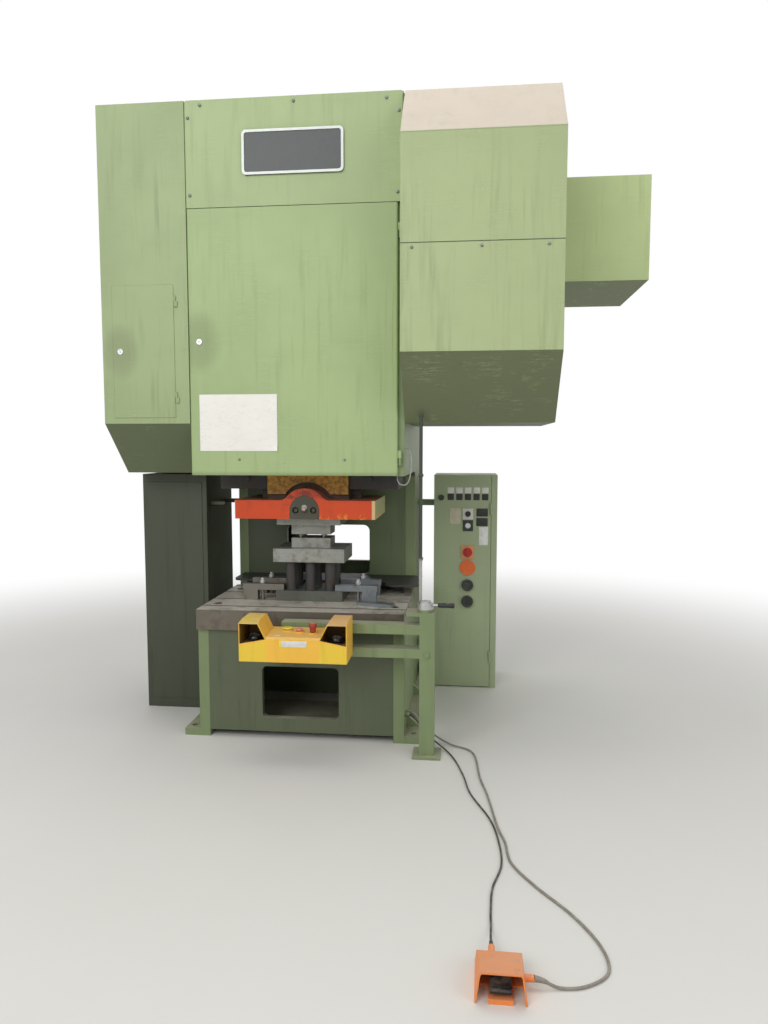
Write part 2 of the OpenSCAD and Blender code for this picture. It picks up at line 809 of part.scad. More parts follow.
// Motor housing with the vent pipe on its top
module motor_housing() color([0.6, 0.67, 0.47]) {
    px = hx - 318;
    difference() {
        union() {
            box([gx + fit, housing_y0, housing_z], [hx, housing_y1, housing_z + housing_h]);
            zrod(pipe_r, housing_z + housing_h - e, housing_z + housing_h + 119, px, 745);
        }
        box([gx - e, housing_y0 + sheet_t, housing_z + sheet_t],
            [hx - sheet_t, housing_y1 - sheet_t, housing_z + housing_h - sheet_t]);
        zrod(pipe_r - sheet_t, housing_z + housing_h - 2 * sheet_t, housing_z + housing_h + 120,
            px, 745);
    }
    box([gx, housing_y0, housing_z + 20], [gx + fit + e, housing_y0 + 30, housing_z + housing_h - 20]);
}

// Motor on its bracket behind the flywheel
module motor() color([0.35, 0.42, 0.38]) {
    shelf_z = motor_z - motor_r - 92;
    difference() {
        union() {
            xrod(motor_r - 14, motor_x0, motor_x0 + motor_l, motor_y, motor_z);
            xrod(motor_r, motor_x0 + motor_l, motor_x0 + motor_l + 110, motor_y, motor_z);
            xrod(motor_r, motor_x0 + 24, motor_x0 + 60, motor_y, motor_z);
            for (a = [0:15:345]) translate([motor_x0 + 60, motor_y, motor_z]) rotate([a, 0, 0])
                box([0, -3, motor_r - 20], [motor_l - 80, 3, motor_r]);
            box([motor_x0 + 200, motor_y - 70, motor_z + motor_r - 20],
                [motor_x0 + 380, motor_y + 70, motor_z + motor_r + 60]);
            for (y = [-150, 90]) box([motor_x0 + 100, motor_y + y, shelf_z + 39],
                [motor_x0 + 480, motor_y + y + 60, motor_z - 100]);
        }
        xrod(rotor_r + run, motor_x0 - e, motor_x0 + 60, motor_y, motor_z);
    }
    box([motor_x0 - 30, motor_y - 190, shelf_z], [gx + 370, motor_y + 225, shelf_z + 40]);
    box([fx, motor_y + 130, shelf_z - 20], [gx + 370, motor_y + 220, shelf_z + 40]);
}

// V-belts round the flywheel and the motor's pulley
belt_span = norm([motor_y, motor_z - crank_z]);
belt_tilt = atan2(motor_z - crank_z, motor_y);
belt_lean = asin((flywheel_r - pulley_r) / belt_span);
belt_lift = 0.3;
module belt_section() polygon([
    [-belt_bottom, -belt_h], [belt_bottom, -belt_h], [belt_top, 0], [-belt_top, 0],
]);
module belt_arc(r, from, turn) rotate([0, 0, from])
    rotate_extrude(angle = turn, $fn = 96) translate([r + belt_lift, 0]) rotate(90) mirror([0, 1])
        belt_section();
module belt_run(side) {
    l = belt_span * cos(belt_lean);
    rotate([0, 0, side * (90 - belt_lean)]) translate([flywheel_r + belt_lift, side * 0.5, 0])
        rotate([side * 90, 0, 0]) linear_extrude(l + 1) rotate(90) mirror([0, 1])
            belt_section();
}
module drive_belts() color([0.08, 0.08, 0.08])
    for (i = [0:belt_count - 1])
        translate([belt_x + (i - (belt_count - 1) / 2) * belt_pitch, 0, crank_z])
            rotate([90, 0, 90]) rotate([0, 0, belt_tilt]) {
                belt_arc(flywheel_r, 90 - belt_lean, 180 + 2 * belt_lean);
                translate([belt_span, 0, 0]) belt_arc(pulley_r, -90 + belt_lean, 180 - 2 * belt_lean);
                belt_run(1);
                belt_run(-1);
            }

// A grooved rim profile for the belts, in (radius, place along the axis)
groove_top = belt_top + 0.2;
groove_bottom = groove_top - groove_h * (belt_top - belt_bottom) / belt_h;
function groove(r, c) = [
    [r, c - groove_top], [r - groove_h, c - groove_bottom], [r - groove_h, c + groove_bottom],
    [r, c + groove_top],
];
function grooves(r) = [
    for (i = [0:belt_count - 1])
    for (p = groove(r, (i - (belt_count - 1) / 2) * belt_pitch)) p
];

module flywheel() color([0.4, 0.42, 0.4]) translate([belt_x, 0, crank_z]) rotate([0, 90, 0])
    rotate_extrude($fn = 96) polygon(concat(
        [[quill_r + run, -rim_w / 2], [flywheel_hub_r, -rim_w / 2], [flywheel_hub_r + 10, -30],
            [flywheel_r - 140, -30], [flywheel_r - 120, -rim_w / 2], [flywheel_r, -rim_w / 2]],
        grooves(flywheel_r),
        [[flywheel_r, rim_w / 2], [flywheel_r - 120, rim_w / 2], [flywheel_r - 140, 30],
            [flywheel_hub_r + 10, 30], [flywheel_hub_r, rim_w / 2 + 40],
            [quill_r + run, rim_w / 2 + 40]]
    ));

module motor_pulley() color([0.3, 0.31, 0.32]) translate([belt_x, motor_y, motor_z]) rotate([0, 90, 0]) {
    rotate_extrude($fn = 96) polygon(concat(
        [[0, -rim_w / 2 + 20], [pulley_r, -rim_w / 2 + 20]], grooves(pulley_r),
        [[pulley_r, rim_w / 2 - 20], [rotor_r, rim_w / 2 - 20],
            [rotor_r, motor_x0 + 58 - belt_x], [0, motor_x0 + 58 - belt_x]]
    ));
}

// Cam switch at the crankshaft's left end
module cam_switch() color([0.55, 0.57, 0.58]) {
    x0 = -fx - 170;
    difference() {
        union() {
            box([x0, -90, crank_z - 110], [-fx - 50, 90, crank_z + 110]);
            box([x0 + 20, -60, crank_z + 109], [-fx - 70, 60, crank_z + 140]);
            for (y = [-110, 84]) box([-fx - 90, y, crank_z - 155], [-fx, y + 26, crank_z - 60]);
            box([-fx - 90, -111, crank_z - 130], [-fx - 50, 111, crank_z - 109]);
        }
        xrod(25 + run, x0 + 20, -fx - 49, 0, crank_z);
    }
}

// Crankshaft: journals, eccentric and end stubs
module crankshaft() color([0.62, 0.63, 0.64]) {
    cheek = rod_w + 15;
    xrod(journal_r, -fx - 30, -cheek, 0, crank_z);
    xrod(journal_r, cheek, shaft_end, 0, crank_z);
    xrod(25, -fx - 140, -fx - 29, 0, crank_z);
    xrod(eccentric_r, -cheek - e, cheek + e, 0, crank_z - eccentric_offset);
    for (x = [-cheek - 40, cheek]) xrod(journal_r + 24, x, x + 40, 0, crank_z);
}

module stroke_sleeve() color([0.75, 0.65, 0.4]) difference() {
    xrod(sleeve_r, -rod_w - 9, rod_w + 9, 0, rod_z);
    xrod(eccentric_r + run, -rod_w - 20, rod_w + 20, 0, crank_z - eccentric_offset);
}

// Clutch and brake at the shaft's right end
module clutch_brake() color([0.5, 0.36, 0.2]) {
    x0 = quill_end + 10;
    difference() {
        union() {
            xrod(clutch_r, x0 + 20, x0 + 90, 0, crank_z);
            xrod(clutch_r - 60, x0 + 89, x0 + 190, 0, crank_z);
            xrod(journal_r + 50, x0, x0 + 260, 0, crank_z);
            xrod(clutch_r + 70, x0 + 40, x0 + 70, 0, crank_z);
            for (a = [0:30:330]) translate([x0 + 90, 0, crank_z]) rotate([a, 0, 0])
                translate([0, 0, clutch_r - 28]) rotate([0, 90, 0]) hex_head(11, 10);
        }
        xrod(journal_r + run, x0 - e, shaft_end + e, 0, crank_z);
    }
}

// Connecting rod: big eye, tapering shank and clamped boss for the ball screw
module connecting_rod() color([0.36, 0.4, 0.36]) {
    boss_z0 = ball_z + 160;
    boss_z1 = slide_top + 190;
    difference() {
        union() {
            xrod(eye_r, -rod_w, rod_w, 0, rod_z);
            yz_prism(-70, 70) polygon([
                [-rod_boss_r + 10, boss_z1 - 40], [rod_boss_r - 10, boss_z1 - 40],
                [170, rod_z - 90], [-170, rod_z - 90],
            ]);
            zrod(rod_boss_r, boss_z0, boss_z1, 0, 0);
            box([-45, -rod_boss_r - 40, slide_top + 40], [45, 0, slide_top + 150]);
            for (z = [slide_top + 65, slide_top + 125])
                translate([45, -rod_boss_r - 20, z]) rotate([0, 90, 0]) hex_head(13, 12);
        }
        xrod(sleeve_r + run, -rod_w - e, rod_w + e, 0, rod_z);
        zrod(screw_r + fit, boss_z0 - e, boss_z1 - 60, 0, 0);
        box([-3, -rod_boss_r - 41, boss_z0 - e], [3, -10, slide_top + 170]);
    }
}

module ball_screw() color([0.7, 0.7, 0.7]) {
    translate([0, 0, ball_z]) sphere(ball_r);
    zrod(screw_r - 8, ball_z, ball_z + 80, 0, 0);
    zrod(screw_r, ball_z + 79, slide_top + 120, 0, 0);
    translate([0, 0, ball_z + 90]) cylinder(r = 66, h = 50, $fn = 6);
}

// The ram: slide body with tongues, flange with the hump over the shank clamp, and the ball's pocket
function arc(c, r, from, to, steps) = [
    for (i = [0:steps]) let (a = from + (to - from) * i / steps) c + r * [cos(a), sin(a)]
];
module hump_outline() {
    rise = flange_top + hump_fillet - hump_z;
    dx = sqrt(pow(hump_r + hump_fillet, 2) - pow(rise, 2));
    a = atan2(rise, dx);
    polygon(concat(
        [[dx, flange_top - e]],
        arc([dx, flange_top + hump_fillet], hump_fillet, 270, 180 + a, 6),
        arc([0, hump_z], hump_r, a + 4, 176 - a, 18),
        arc([-dx, flange_top + hump_fillet], hump_fillet, 360 - a, 270, 6),
        [[-dx, flange_top - e]]
    ));
}

module clamp_outline(gap) {
    translate([-clamp_r + gap, ram_z - e]) square([2 * (clamp_r - gap), clamp_z - ram_z + e]);
    translate([0, clamp_z]) circle(clamp_r - gap);
}

module ram() color([0.93, 0.4, 0.13]) difference() {
    union() {
        box([-flange_w / 2, -flange_front, ram_z], [flange_w / 2, flange_back, flange_top]);
        xz_prism(-flange_front, -slide_front + e) hump_outline();
        xz_prism(-slide_front - slide_plate_t, -slide_front + e) difference() {
            translate([-slide_w / 2, flange_top + arch_gap]) square([slide_w, 260]);
            translate([0, hump_z]) circle(hump_r + arch_gap);
        }
        box([-slide_w / 2, -slide_front, flange_top - e], [slide_w / 2, slide_back, slide_top]);
        box([-slide_w / 2 - tongue_w, -tongue_y, flange_top - e],
            [slide_w / 2 + tongue_w, tongue_y, slide_top]);
    }
    xz_prism(-flange_front - e, -12) clamp_outline(0);
    zrod(shank_r + fit, ram_z - e, ram_z + shank_h + 10, 0, 0);
    xy_prism(pocket_floor, slide_top + e) {
        circle(pocket_r);
        translate([0, 28]) circle(pocket_r);
        translate([-pocket_r, 0]) square([2 * pocket_r, 28]);
    }
    yrod(ball_r + ball_gap, -ball_r, ball_r + crank_r + 3, 0, ball_z);
}

module shank_clamp() color([0.35, 0.36, 0.36]) difference() {
    union() {
        xz_prism(-flange_front - 2, -12.5) intersection() {
            clamp_outline(0.4);
            translate([-200, ram_z]) square([400, 200]);
        }
        translate([0, -flange_front - 2, clamp_z + 6]) rotate([90, 0, 0]) hex_head(14, 14);
        for (x = [-52, 52])
            translate([x, -flange_front + 22, clamp_z + 2]) rotate([90, 0, 0]) hex_head(12, 14);
    }
    zrod(shank_r + fit, ram_z - e, ram_z + shank_h + 10, 0, 0);
    for (x = [-52, 52]) difference() {
        yrod(19, -flange_front - 3, -flange_front + 22, x, clamp_z + 2);
        translate([x, -flange_front + 22, clamp_z + 2]) rotate([90, 0, 0]) hex_head(12, 14);
    }
}

// The upper die: shank, flange, punch block and punches
module upper_die() color([0.45, 0.46, 0.46]) {
    zrod(shank_r, ram_z - e, ram_z + shank_h, 0, 0);
    box([-190, block_y - 150, ram_z - upper_flange_t], [190, block_y + 150, ram_z]);
    box([-block_w / 2, block_y - block_d / 2, punch_z],
        [block_w / 2, block_y + block_d / 2, ram_z - upper_flange_t + e]);
    for (p = punches) {
        zrod(punch_r, die_top - 14, punch_z + e, p[0], p[1]);
        zrod(punch_r + 6, die_top + 8, punch_z + e, p[0], p[1]);
    }
}

// Control cabinet with its mounting plate and switchgear inside
module control_cabinet() color([0.55, 0.63, 0.43]) {
    x1 = cabinet_x + cabinet_w;
    y0 = cabinet_y + 22;
    y1 = cabinet_y + cabinet_d;
    difference() {
        union() {
            box([cabinet_x, y0, 0], [x1, y1, cabinet_h]);
            box([cab_hinge_x + e, cabinet_y, 0], [x1, y0 + e, cabinet_h]);
        }
        box([cabinet_x + sheet_t, y0 + sheet_t, sheet_t],
            [x1 - sheet_t, y1 - sheet_t, cabinet_h - sheet_t]);
        box([cabinet_x + 20, y0 - e, 30], [cab_hinge_x - 20, y0 + sheet_t + e, cabinet_h - 30]);
        box([cab_hinge_x + 6, cabinet_y + sheet_t, 10], [x1 - sheet_t, y0 + sheet_t + e, cabinet_h - 10]);
    }
    box([cabinet_x + 30, y1 - 46, 60], [x1 - 30, y1 - 40, cabinet_h - 80]);
    for (x = [cabinet_x + 50, x1 - 50], z = [100, cabinet_h - 120])
        yrod(8, y1 - 41, y1 - sheet_t + e, x, z);
    for (z = [300, 560, 820, 1080], x = [0, 1, 2])
        box([cabinet_x + 60 + x * 110, y1 - 110, z], [cabinet_x + 140 + x * 110, y1 - 45, z + 130]);
    for (z = [250, 1250]) box([fx, y0 + 120, z], [cabinet_x + e, y0 + 170, z + 40]);
    for (z = cab_hinges) {
        zrod(cab_hinge_r, z, z + 40, cab_hinge_x, cab_hinge_y);
        zrod(3.95, z + 40, z + 78, cab_hinge_x, cab_hinge_y);
        box([cab_hinge_x, cab_hinge_y - 3, z], [cab_hinge_x + 10, cabinet_y + e, z + 40]);
    }
}
cab_hinges = [180, 1200];

module cabinet_door() color([0.56, 0.64, 0.44]) {
    x1 = cabinet_x + cab_door_w;
    difference() {
        union() {
            difference() {
                box([cabinet_x, cabinet_y, 8], [x1, cabinet_y + cab_door_t, cabinet_h]);
                box([cabinet_x + sheet_t, cabinet_y + sheet_t, 8 + sheet_t],
                    [x1 - sheet_t, cabinet_y + cab_door_t + e, cabinet_h - sheet_t]);
            }
            for (z = cab_hinges) {
                zrod(cab_hinge_r, z + 40 + fit, z + 80, cab_hinge_x, cab_hinge_y);
                box([cab_hinge_x - 10, cab_hinge_y - 3, z + 40 + fit],
                    [cab_hinge_x, cabinet_y + e, z + 80]);
            }
            for (x = button_x) xz_prism(cabinet_y - 3, cabinet_y + e)
                round_rect(x - 21, button_z - 21, x + 21, button_z + 21, 4);
            yrod(20, cabinet_y - 12, cabinet_y + e, cabinet_x + 49, button_z - 5);
            box([dial_x - 35, cabinet_y - 3, dial_z - 38], [dial_x + 35, cabinet_y + e, dial_z + 37]);
            box([dial_x - 35, cabinet_y - 3, key_z - 38], [dial_x + 35, cabinet_y + e, key_z + 38]);
            box([dial_x - 44, cabinet_y - 6, main_z - 46], [dial_x + 44, cabinet_y + e, main_z + 47]);
            yrod(53, cabinet_y - 8, cabinet_y + e, dial_x, main_z - 107);
            for (z = [main_z - 226, main_z - 339]) socket(z);
        }
        for (z = cab_hinges) zrod(4, z + 39, z + 81, cab_hinge_x, cab_hinge_y);
        for (x = button_x) yrod(button_r + fit, cabinet_y - 4, cabinet_y + 5, x, button_z);
        for (z = [dial_z, key_z]) yrod(14 + run, cabinet_y - 4, cabinet_y + 5, dial_x, z);
        yrod(20 + run, cabinet_y - 7, cabinet_y + 5, dial_x, main_z);
    }
}

module socket(z) difference() {
    yrod(40, cabinet_y - 24, cabinet_y + e, dial_x, z);
    yrod(30, cabinet_y - 25, cabinet_y - 14, dial_x, z);
}

module cabinet_button(i) color([0.08, 0.08, 0.08])
    yrod(button_r, cabinet_y - 12, cabinet_y + 5, button_x[i], button_z);

module knob(r, h, face, z) {
    yrod(14, face - 2, cabinet_y + 5, dial_x, z);
    yrod(r, face - 6, face - fit, dial_x, z);
    box([dial_x - 5, face - h, z - r], [dial_x + 5, face - 5, z + r]);
}
module mode_selector() color([0.1, 0.1, 0.1]) knob(19, 22, cabinet_y - 3, dial_z);
module key_switch() color([0.7, 0.7, 0.7]) {
    yrod(14, cabinet_y - 5, cabinet_y + 5, dial_x, key_z);
    yrod(18, cabinet_y - 10, cabinet_y - 3 - fit, dial_x, key_z);
    box([dial_x - 2, cabinet_y - 40, key_z - 12], [dial_x + 2, cabinet_y - 9, key_z + 12]);
}
module main_switch() color([0.75, 0.08, 0.08]) {
    yrod(20, cabinet_y - 8, cabinet_y + 5, dial_x, main_z);
    yrod(31, cabinet_y - 22, cabinet_y - 6 - fit, dial_x, main_z);
    box([dial_x - 8, cabinet_y - 40, main_z - 31], [dial_x + 8, cabinet_y - 21, main_z + 31]);
}

// Tall service cabinet under the left cover
module service_cabinet() color([0.55, 0.6, 0.5]) {
    difference() {
        box([service_x - service_w, service_y, 0], [service_x, service_y + service_d, service_h]);
        box([service_x - service_w + service_t, service_y + service_t, -e],
            [service_x - service_t, service_y + service_d - service_t, service_h - service_t]);
    }
    box([service_x - service_w + 30, service_y - 4, 60],
        [service_x - 30, service_y + e, service_h - 50]);
    for (y = [service_y + 86, service_y + service_d - 120])
        xrod(14, service_x - e, -fx, y, service_h - 190);
}

// Post, arm and top plate that carry the console and the hand lever
module console_frame() color([0.6, 0.68, 0.46]) {
    y1 = post_y + post_w;
    box([post_x, post_y, 12], [post_x + post_w, y1, top_plate_z]);
    box([post_x - 35, post_y - 35, 0], [post_x + post_w + 35, y1 + 35, 12]);
    box([bar_x, post_y, bar_z], [post_x + e, y1, bar_z + bar_t]);
    box([bar_x, post_y, 540], [post_x + e, y1, 590]);
    for (x = [bar_x, 260]) box([x, post_y, 589], [x + 50, y1, bar_z + e]);
    box([post_x - 73, post_y, top_plate_z - e], [post_x + post_w, y1 + 55, top_plate_z + 16]);
    for (x = [bar_x, 250]) box([x, console_back, 575], [x + 60, post_y + e, 640]);
    zrod(lever_hub_r, top_plate_z + 15, top_plate_z + 34, lever_x, lever_y);
    zrod(10 - run, top_plate_z + 33, top_plate_z + 74, lever_x, lever_y);
    yrod(14, post_y - 10, post_y + e, post_x + 40, 560);
}

module hand_lever() color([0.75, 0.76, 0.77]) {
    z0 = top_plate_z + 34 + fit;
    difference() {
        union() {
            zrod(lever_hub_r + 4, z0, z0 + 30, lever_x, lever_y);
            zrod(lever_hub_r - 8, z0 + 29, z0 + 42, lever_x, lever_y);
            xrod(7, lever_x + 20, lever_x + 155, lever_y, z0 + 20);
            xrod(11, lever_x + 90, lever_x + 156, lever_y, z0 + 20);
        }
        zrod(10, z0 - e, z0 + 43, lever_x, lever_y);
    }
}

// Two-hand console: body with a sloping deck, open below, and a hood over each palm button
console_profile = [
    [console_y, console_z], [console_back, console_z], [console_back, deck_back_z],
    [console_y + 12, deck_front_z], [console_y, deck_front_z - 10],
];
module console_body(t) {
    yz_prism(console_x - console_w / 2 + t, console_x + console_w / 2 - t)
        polygon(inset(console_profile, t));
}

// One hood, drawn for the left end of the console
module hood_outline(t) polygon([
    [t, console_z], [t, hood_top_z - t], [hood_w - hood_lean - t, hood_top_z - t],
    [hood_w - t, deck_front_z - 12], [hood_w - t, console_z],
]);
module hood_side(t) polygon([
    [console_y - t, console_z], [console_back - t, console_z], [console_back - t, hood_top_z - t],
    [console_y + 75, hood_top_z - t], [console_y - t, hood_lip_z - t],
]);
module hood() difference() {
    intersection() {
        xz_prism(console_y, console_back) hood_outline(0);
        yz_prism(-e, hood_w + e) hood_side(0);
    }
    intersection() {
        xz_prism(console_y - 2 * sheet_t, console_back) hood_outline(sheet_t);
        yz_prism(-e, hood_w + e) hood_side(sheet_t);
        box([0, console_y - e, hood_floor_z], [hood_w, console_back, hood_top_z]);
    }
}

// The lip at a hood's mouth rises towards the deck
module hood_lip() xz_prism(console_y, console_y + sheet_t) polygon([
    [sheet_t - e, hood_floor_z - e], [hood_w - sheet_t, hood_floor_z - e],
    [hood_w - sheet_t, deck_front_z - 12], [sheet_t - e, hood_floor_z + 6],
]);

module console_housing() color([0.97, 0.62, 0.12]) difference() {
    union() {
        difference() {
            console_body(0);
            for (x = [console_x - console_w / 2 + sheet_t, console_x + console_w / 2 - hood_w + sheet_t])
                box([x, console_y - e, hood_floor_z], [x + hood_w - 2 * sheet_t,
                    console_back - sheet_t, deck_back_z + e]);
        }
        translate([console_x - console_w / 2, 0, 0]) { hood(); hood_lip(); }
        translate([console_x + console_w / 2, 0, 0]) mirror([1, 0, 0]) { hood(); hood_lip(); }
        for (s = [-1, 1])
            zrod(20, hood_floor_z - e, hood_floor_z + palm_boss_h, console_x + s * palm_x, palm_y);
        for (b = deck_buttons) zrod(b[2] + 5, deck_z(b[1]) - 2, deck_z(b[1]) + collar_h, b[0], b[1]);
    }
    intersection() {
        console_body(sheet_t);
        union() {
            box([console_x - console_w / 2 + hood_w, console_y, console_z],
                [console_x + console_w / 2 - hood_w, console_back, deck_back_z]);
            box([console_x - console_w / 2, console_y, console_z],
                [console_x + console_w / 2, console_back, hood_floor_z - sheet_t]);
        }
    }
    box([console_x - console_w / 2 + sheet_t, console_y + sheet_t, console_z - e],
        [console_x + console_w / 2 - sheet_t, console_back - sheet_t, console_z + 2 * sheet_t]);
    for (b = deck_buttons)
        translate([b[0], b[1], deck_z(b[1]) - 30]) cylinder(r = 8 + fit, h = 60);
    for (s = [-1, 1])
        zrod(12 + fit, hood_floor_z - 30, hood_floor_z + 10, console_x + s * palm_x, palm_y);
}

// Buttons on the deck: place, and head radius
deck_buttons = [[-4, -665, 24], [64, -690, 19], [138, -705, 21]];
function deck_z(y) = deck_front_z + (y - console_y - 12) / (console_d - 12) * (deck_back_z - deck_front_z);

module deck_button(i, h) {
    b = deck_buttons[i];
    z = deck_z(b[1]) + collar_h + button_travel;
    zrod(8, z - 35, z + fit + e, b[0], b[1]);
    zrod(b[2], z + fit, z + h, b[0], b[1]);
}
module yellow_button() color([0.95, 0.9, 0.1]) deck_button(0, 9);
module pink_button() color([0.85, 0.45, 0.4]) deck_button(1, 12);
module stop_button() color([0.75, 0.1, 0.08]) deck_button(2, 46);

module palm_button(s) color([0.07, 0.07, 0.07]) {
    x = console_x + s * palm_x;
    z0 = hood_floor_z + palm_boss_h + palm_travel + fit;
    zrod(12, hood_floor_z - 16, z0 + e, x, palm_y);
    intersection() {
        translate([x, palm_y, z0 + palm_head_h - palm_r * 1.12]) sphere(palm_r * 1.12);
        zrod(palm_r, z0, z0 + palm_head_h, x, palm_y);
    }
}

// Pipe down to the console and the hose loop at the door
module conduits() color([0.6, 0.6, 0.58]) {
    difference() {
        zrod(9, top_plate_z + 16, guard_low_z + 130, pipe_x, pipe_y);
        yz_prism(fx, gx) polygon(guard_profile);
    }
    zrod(15, top_plate_z + 16, top_plate_z + 40, pipe_x, pipe_y);
    cord(loop_route, loop_r, 1, 8, [0, 0, -1], [-1, 0, 0], [0, 1, 0]);
}

// Foot switch: hood over the pedal, with a gland for each cable. The hood's walls lean in, its
// roof falls to the back, and its sides stand on the floor beside the pedal's plate.
hood_front_profile = [
    [pedal_x, 0], [pedal_x + pedal_w, 0],
    [pedal_x + pedal_w - switch_lean, pedal_h - 14],
    [pedal_x + pedal_w - switch_lean - 2, pedal_h - 6],
    [pedal_x + pedal_w - switch_lean - 7, pedal_h - 1],
    [pedal_x + pedal_w - switch_lean - 14, pedal_h],
    [pedal_x + switch_lean + 14, pedal_h], [pedal_x + switch_lean + 7, pedal_h - 1],
    [pedal_x + switch_lean + 2, pedal_h - 6], [pedal_x + switch_lean, pedal_h - 14],
];
hood_side_profile = [
    [pedal_y, 0], [pedal_y + pedal_l, 0], [pedal_y + pedal_l, hood_back_h - 12],
    [pedal_y + pedal_l - 4, hood_back_h - 3], [pedal_y + pedal_l - 12, hood_back_h],
    [pedal_y, pedal_h],
];
hood_plan = [
    [pedal_x, pedal_y], [pedal_x + pedal_w, pedal_y],
    [pedal_x + pedal_w - hood_taper, pedal_y + pedal_l],
    [pedal_x + hood_taper, pedal_y + pedal_l],
];
module switch_hood(t) intersection() {
    xz_prism(pedal_y, pedal_y + pedal_l) polygon(inset(hood_front_profile, t));
    yz_prism(pedal_x, pedal_x + pedal_w) polygon(inset(hood_side_profile, t));
    xy_prism(0, pedal_h) polygon(inset(hood_plan, t));
}

module foot_switch() color([0.95, 0.45, 0.12]) {
    xc = pedal_x + pedal_w / 2;
    lip = pedal_half + 5;
    difference() {
        union() {
            switch_hood(0);
            xrod(gland_r, pedal_x + pedal_w - 8, cable_end[0], cable_end[1], cable_end[2]);
            yrod(gland_r, pedal_y + pedal_l - e, lead_end[1], lead_end[0], lead_end[2]);
        }
        difference() {
            union() {
                switch_hood(hood_t);
                xz_prism(pedal_y - e, pedal_y + hood_t + e)
                    polygon(inset(hood_front_profile, hood_t));
            }
            box([pedal_x, pedal_y - 2 * e, 0],
                [pedal_x + pedal_w, pedal_y + pedal_l, pedal_plate_t]);
            box([xc - lip, pedal_y - 2 * e, 0], [xc + lip, pedal_y + 8, pedal_lip_h]);
        }
        for (x = [[pedal_x + hood_t + 1, xc - lip], [xc + lip, pedal_x + pedal_w - hood_t - 1]])
            box([x[0], pedal_y - e, -e], [x[1], pedal_y + 80, pedal_plate_t + e]);
    }
    xrod(6 - run, pedal_x + 8, pedal_x + pedal_w - 8, pedal_axis_y, pedal_axis_z);
}

module foot_pedal() color([0.12, 0.12, 0.12]) {
    x0 = pedal_x + pedal_w / 2 - pedal_half;
    x1 = pedal_x + pedal_w / 2 + pedal_half;
    difference() {
        union() {
            yz_prism(x0, x1) polygon([
                [pedal_y + 16, pedal_axis_z - 18], [pedal_axis_y - 4, pedal_axis_z - 9],
                [pedal_axis_y + 10, pedal_axis_z - 6], [pedal_axis_y + 10, pedal_axis_z + 10],
                [pedal_y + 22, pedal_axis_z - 6], [pedal_y + 16, pedal_axis_z - 10],
            ]);
            xrod(10, x0, x1, pedal_axis_y, pedal_axis_z);
        }
        xrod(6, x0 - e, x1 + e, pedal_axis_y, pedal_axis_z);
        box([x0 + 5, pedal_y + 27, pedal_axis_z - 8], [x1 - 5, pedal_y + 33, pedal_axis_z]);
    }
}

// A round cord swept along a smooth line through its route's points
function spline(p, i, t) =
    let (
        a = p[max(i - 1, 0)], b = p[i], c = p[i + 1], d = p[min(i + 2, len(p) - 1)]
    )
    0.5 * (2 * b + (c - a) * t + (2 * a - 5 * b + 4 * c - d) * t * t
        + (3 * b - a - 3 * c + d) * t * t * t);
function smooth(p, steps) = concat(
    [for (i = [0:len(p) - 2], k = [0:steps - 1]) spline(p, i, k / steps)], [p[len(p) - 1]]
);
module cord(route, r, steps, sides, start_dir, end_dir, up = [0, 0, 1]) {
    line = smooth(route, steps);
    n = len(line);
    points = [
        for (i = [0:n - 1])
        let (
            t = i == 0 ? start_dir : i == n - 1 ? end_dir : unit(line[i + 1] - line[i - 1]),
            u = unit(cross(t, up)),
            v = cross(u, t)
        )
        for (k = [0:sides - 1]) line[i] + r * (u * cos(k * 360 / sides) + v * sin(k * 360 / sides))
    ];
    faces = concat(
        [[for (k = [sides - 1:-1:0]) k]],
        [for (i = [0:n - 2], k = [0:sides - 1])
            [i * sides + k, i * sides + (k + 1) % sides, (i + 1) * sides + (k + 1) % sides,
                (i + 1) * sides + k]],
        [[for (k = [0:sides - 1]) (n - 1) * sides + k]]
    );
    polyhedron(points, faces, convexity = 10);
}
module foot_cable() color([0.55, 0.54, 0.52])
    cord(cable_route, cord_r, 2, 8, [1, 0, 0], [-1, 0, 0]);
module foot_lead() color([0.15, 0.15, 0.15])
    cord(lead_route, lead_r, 2, 8, [1, 0, 0], [0, -1, 0]);

side_plates();
column_webs();
bed();
guide_posts();
gibs();
frame_bolts();
crank_bearings();
bolster();
rear_table();
die_base();
die_columns();
die_table();
die_clamps();
upper_cover();
left_cover();
nameplate();
flywheel_guard_upper();
flywheel_guard_lower();
motor_housing();
motor();
drive_belts();
cam_switch();
control_cabinet();
service_cabinet();
console_frame();
console_housing();
conduits();
foot_switch();
foot_cable();
foot_lead();
crankshaft();
stroke_sleeve();
clutch_brake();
connecting_rod();
ball_screw();
ram();
shank_clamp();
upper_die();
flywheel();
motor_pulley();
main_door();
main_door_lock();
left_door();
left_door_lock();
cabinet_door();
cabinet_button(0);  // cabinet_button_1
cabinet_button(1);  // cabinet_button_2
cabinet_button(2);  // cabinet_button_3
cabinet_button(3);  // cabinet_button_4
cabinet_button(4);  // cabinet_button_5
mode_selector();
key_switch();
main_switch();
palm_button(-1);  // palm_button_left
palm_button(1);  // palm_button_right
yellow_button();
pink_button();
stop_button();
foot_pedal();
hand_lever();
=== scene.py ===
import math

import bmesh
import bpy
from mathutils import Matrix, Vector


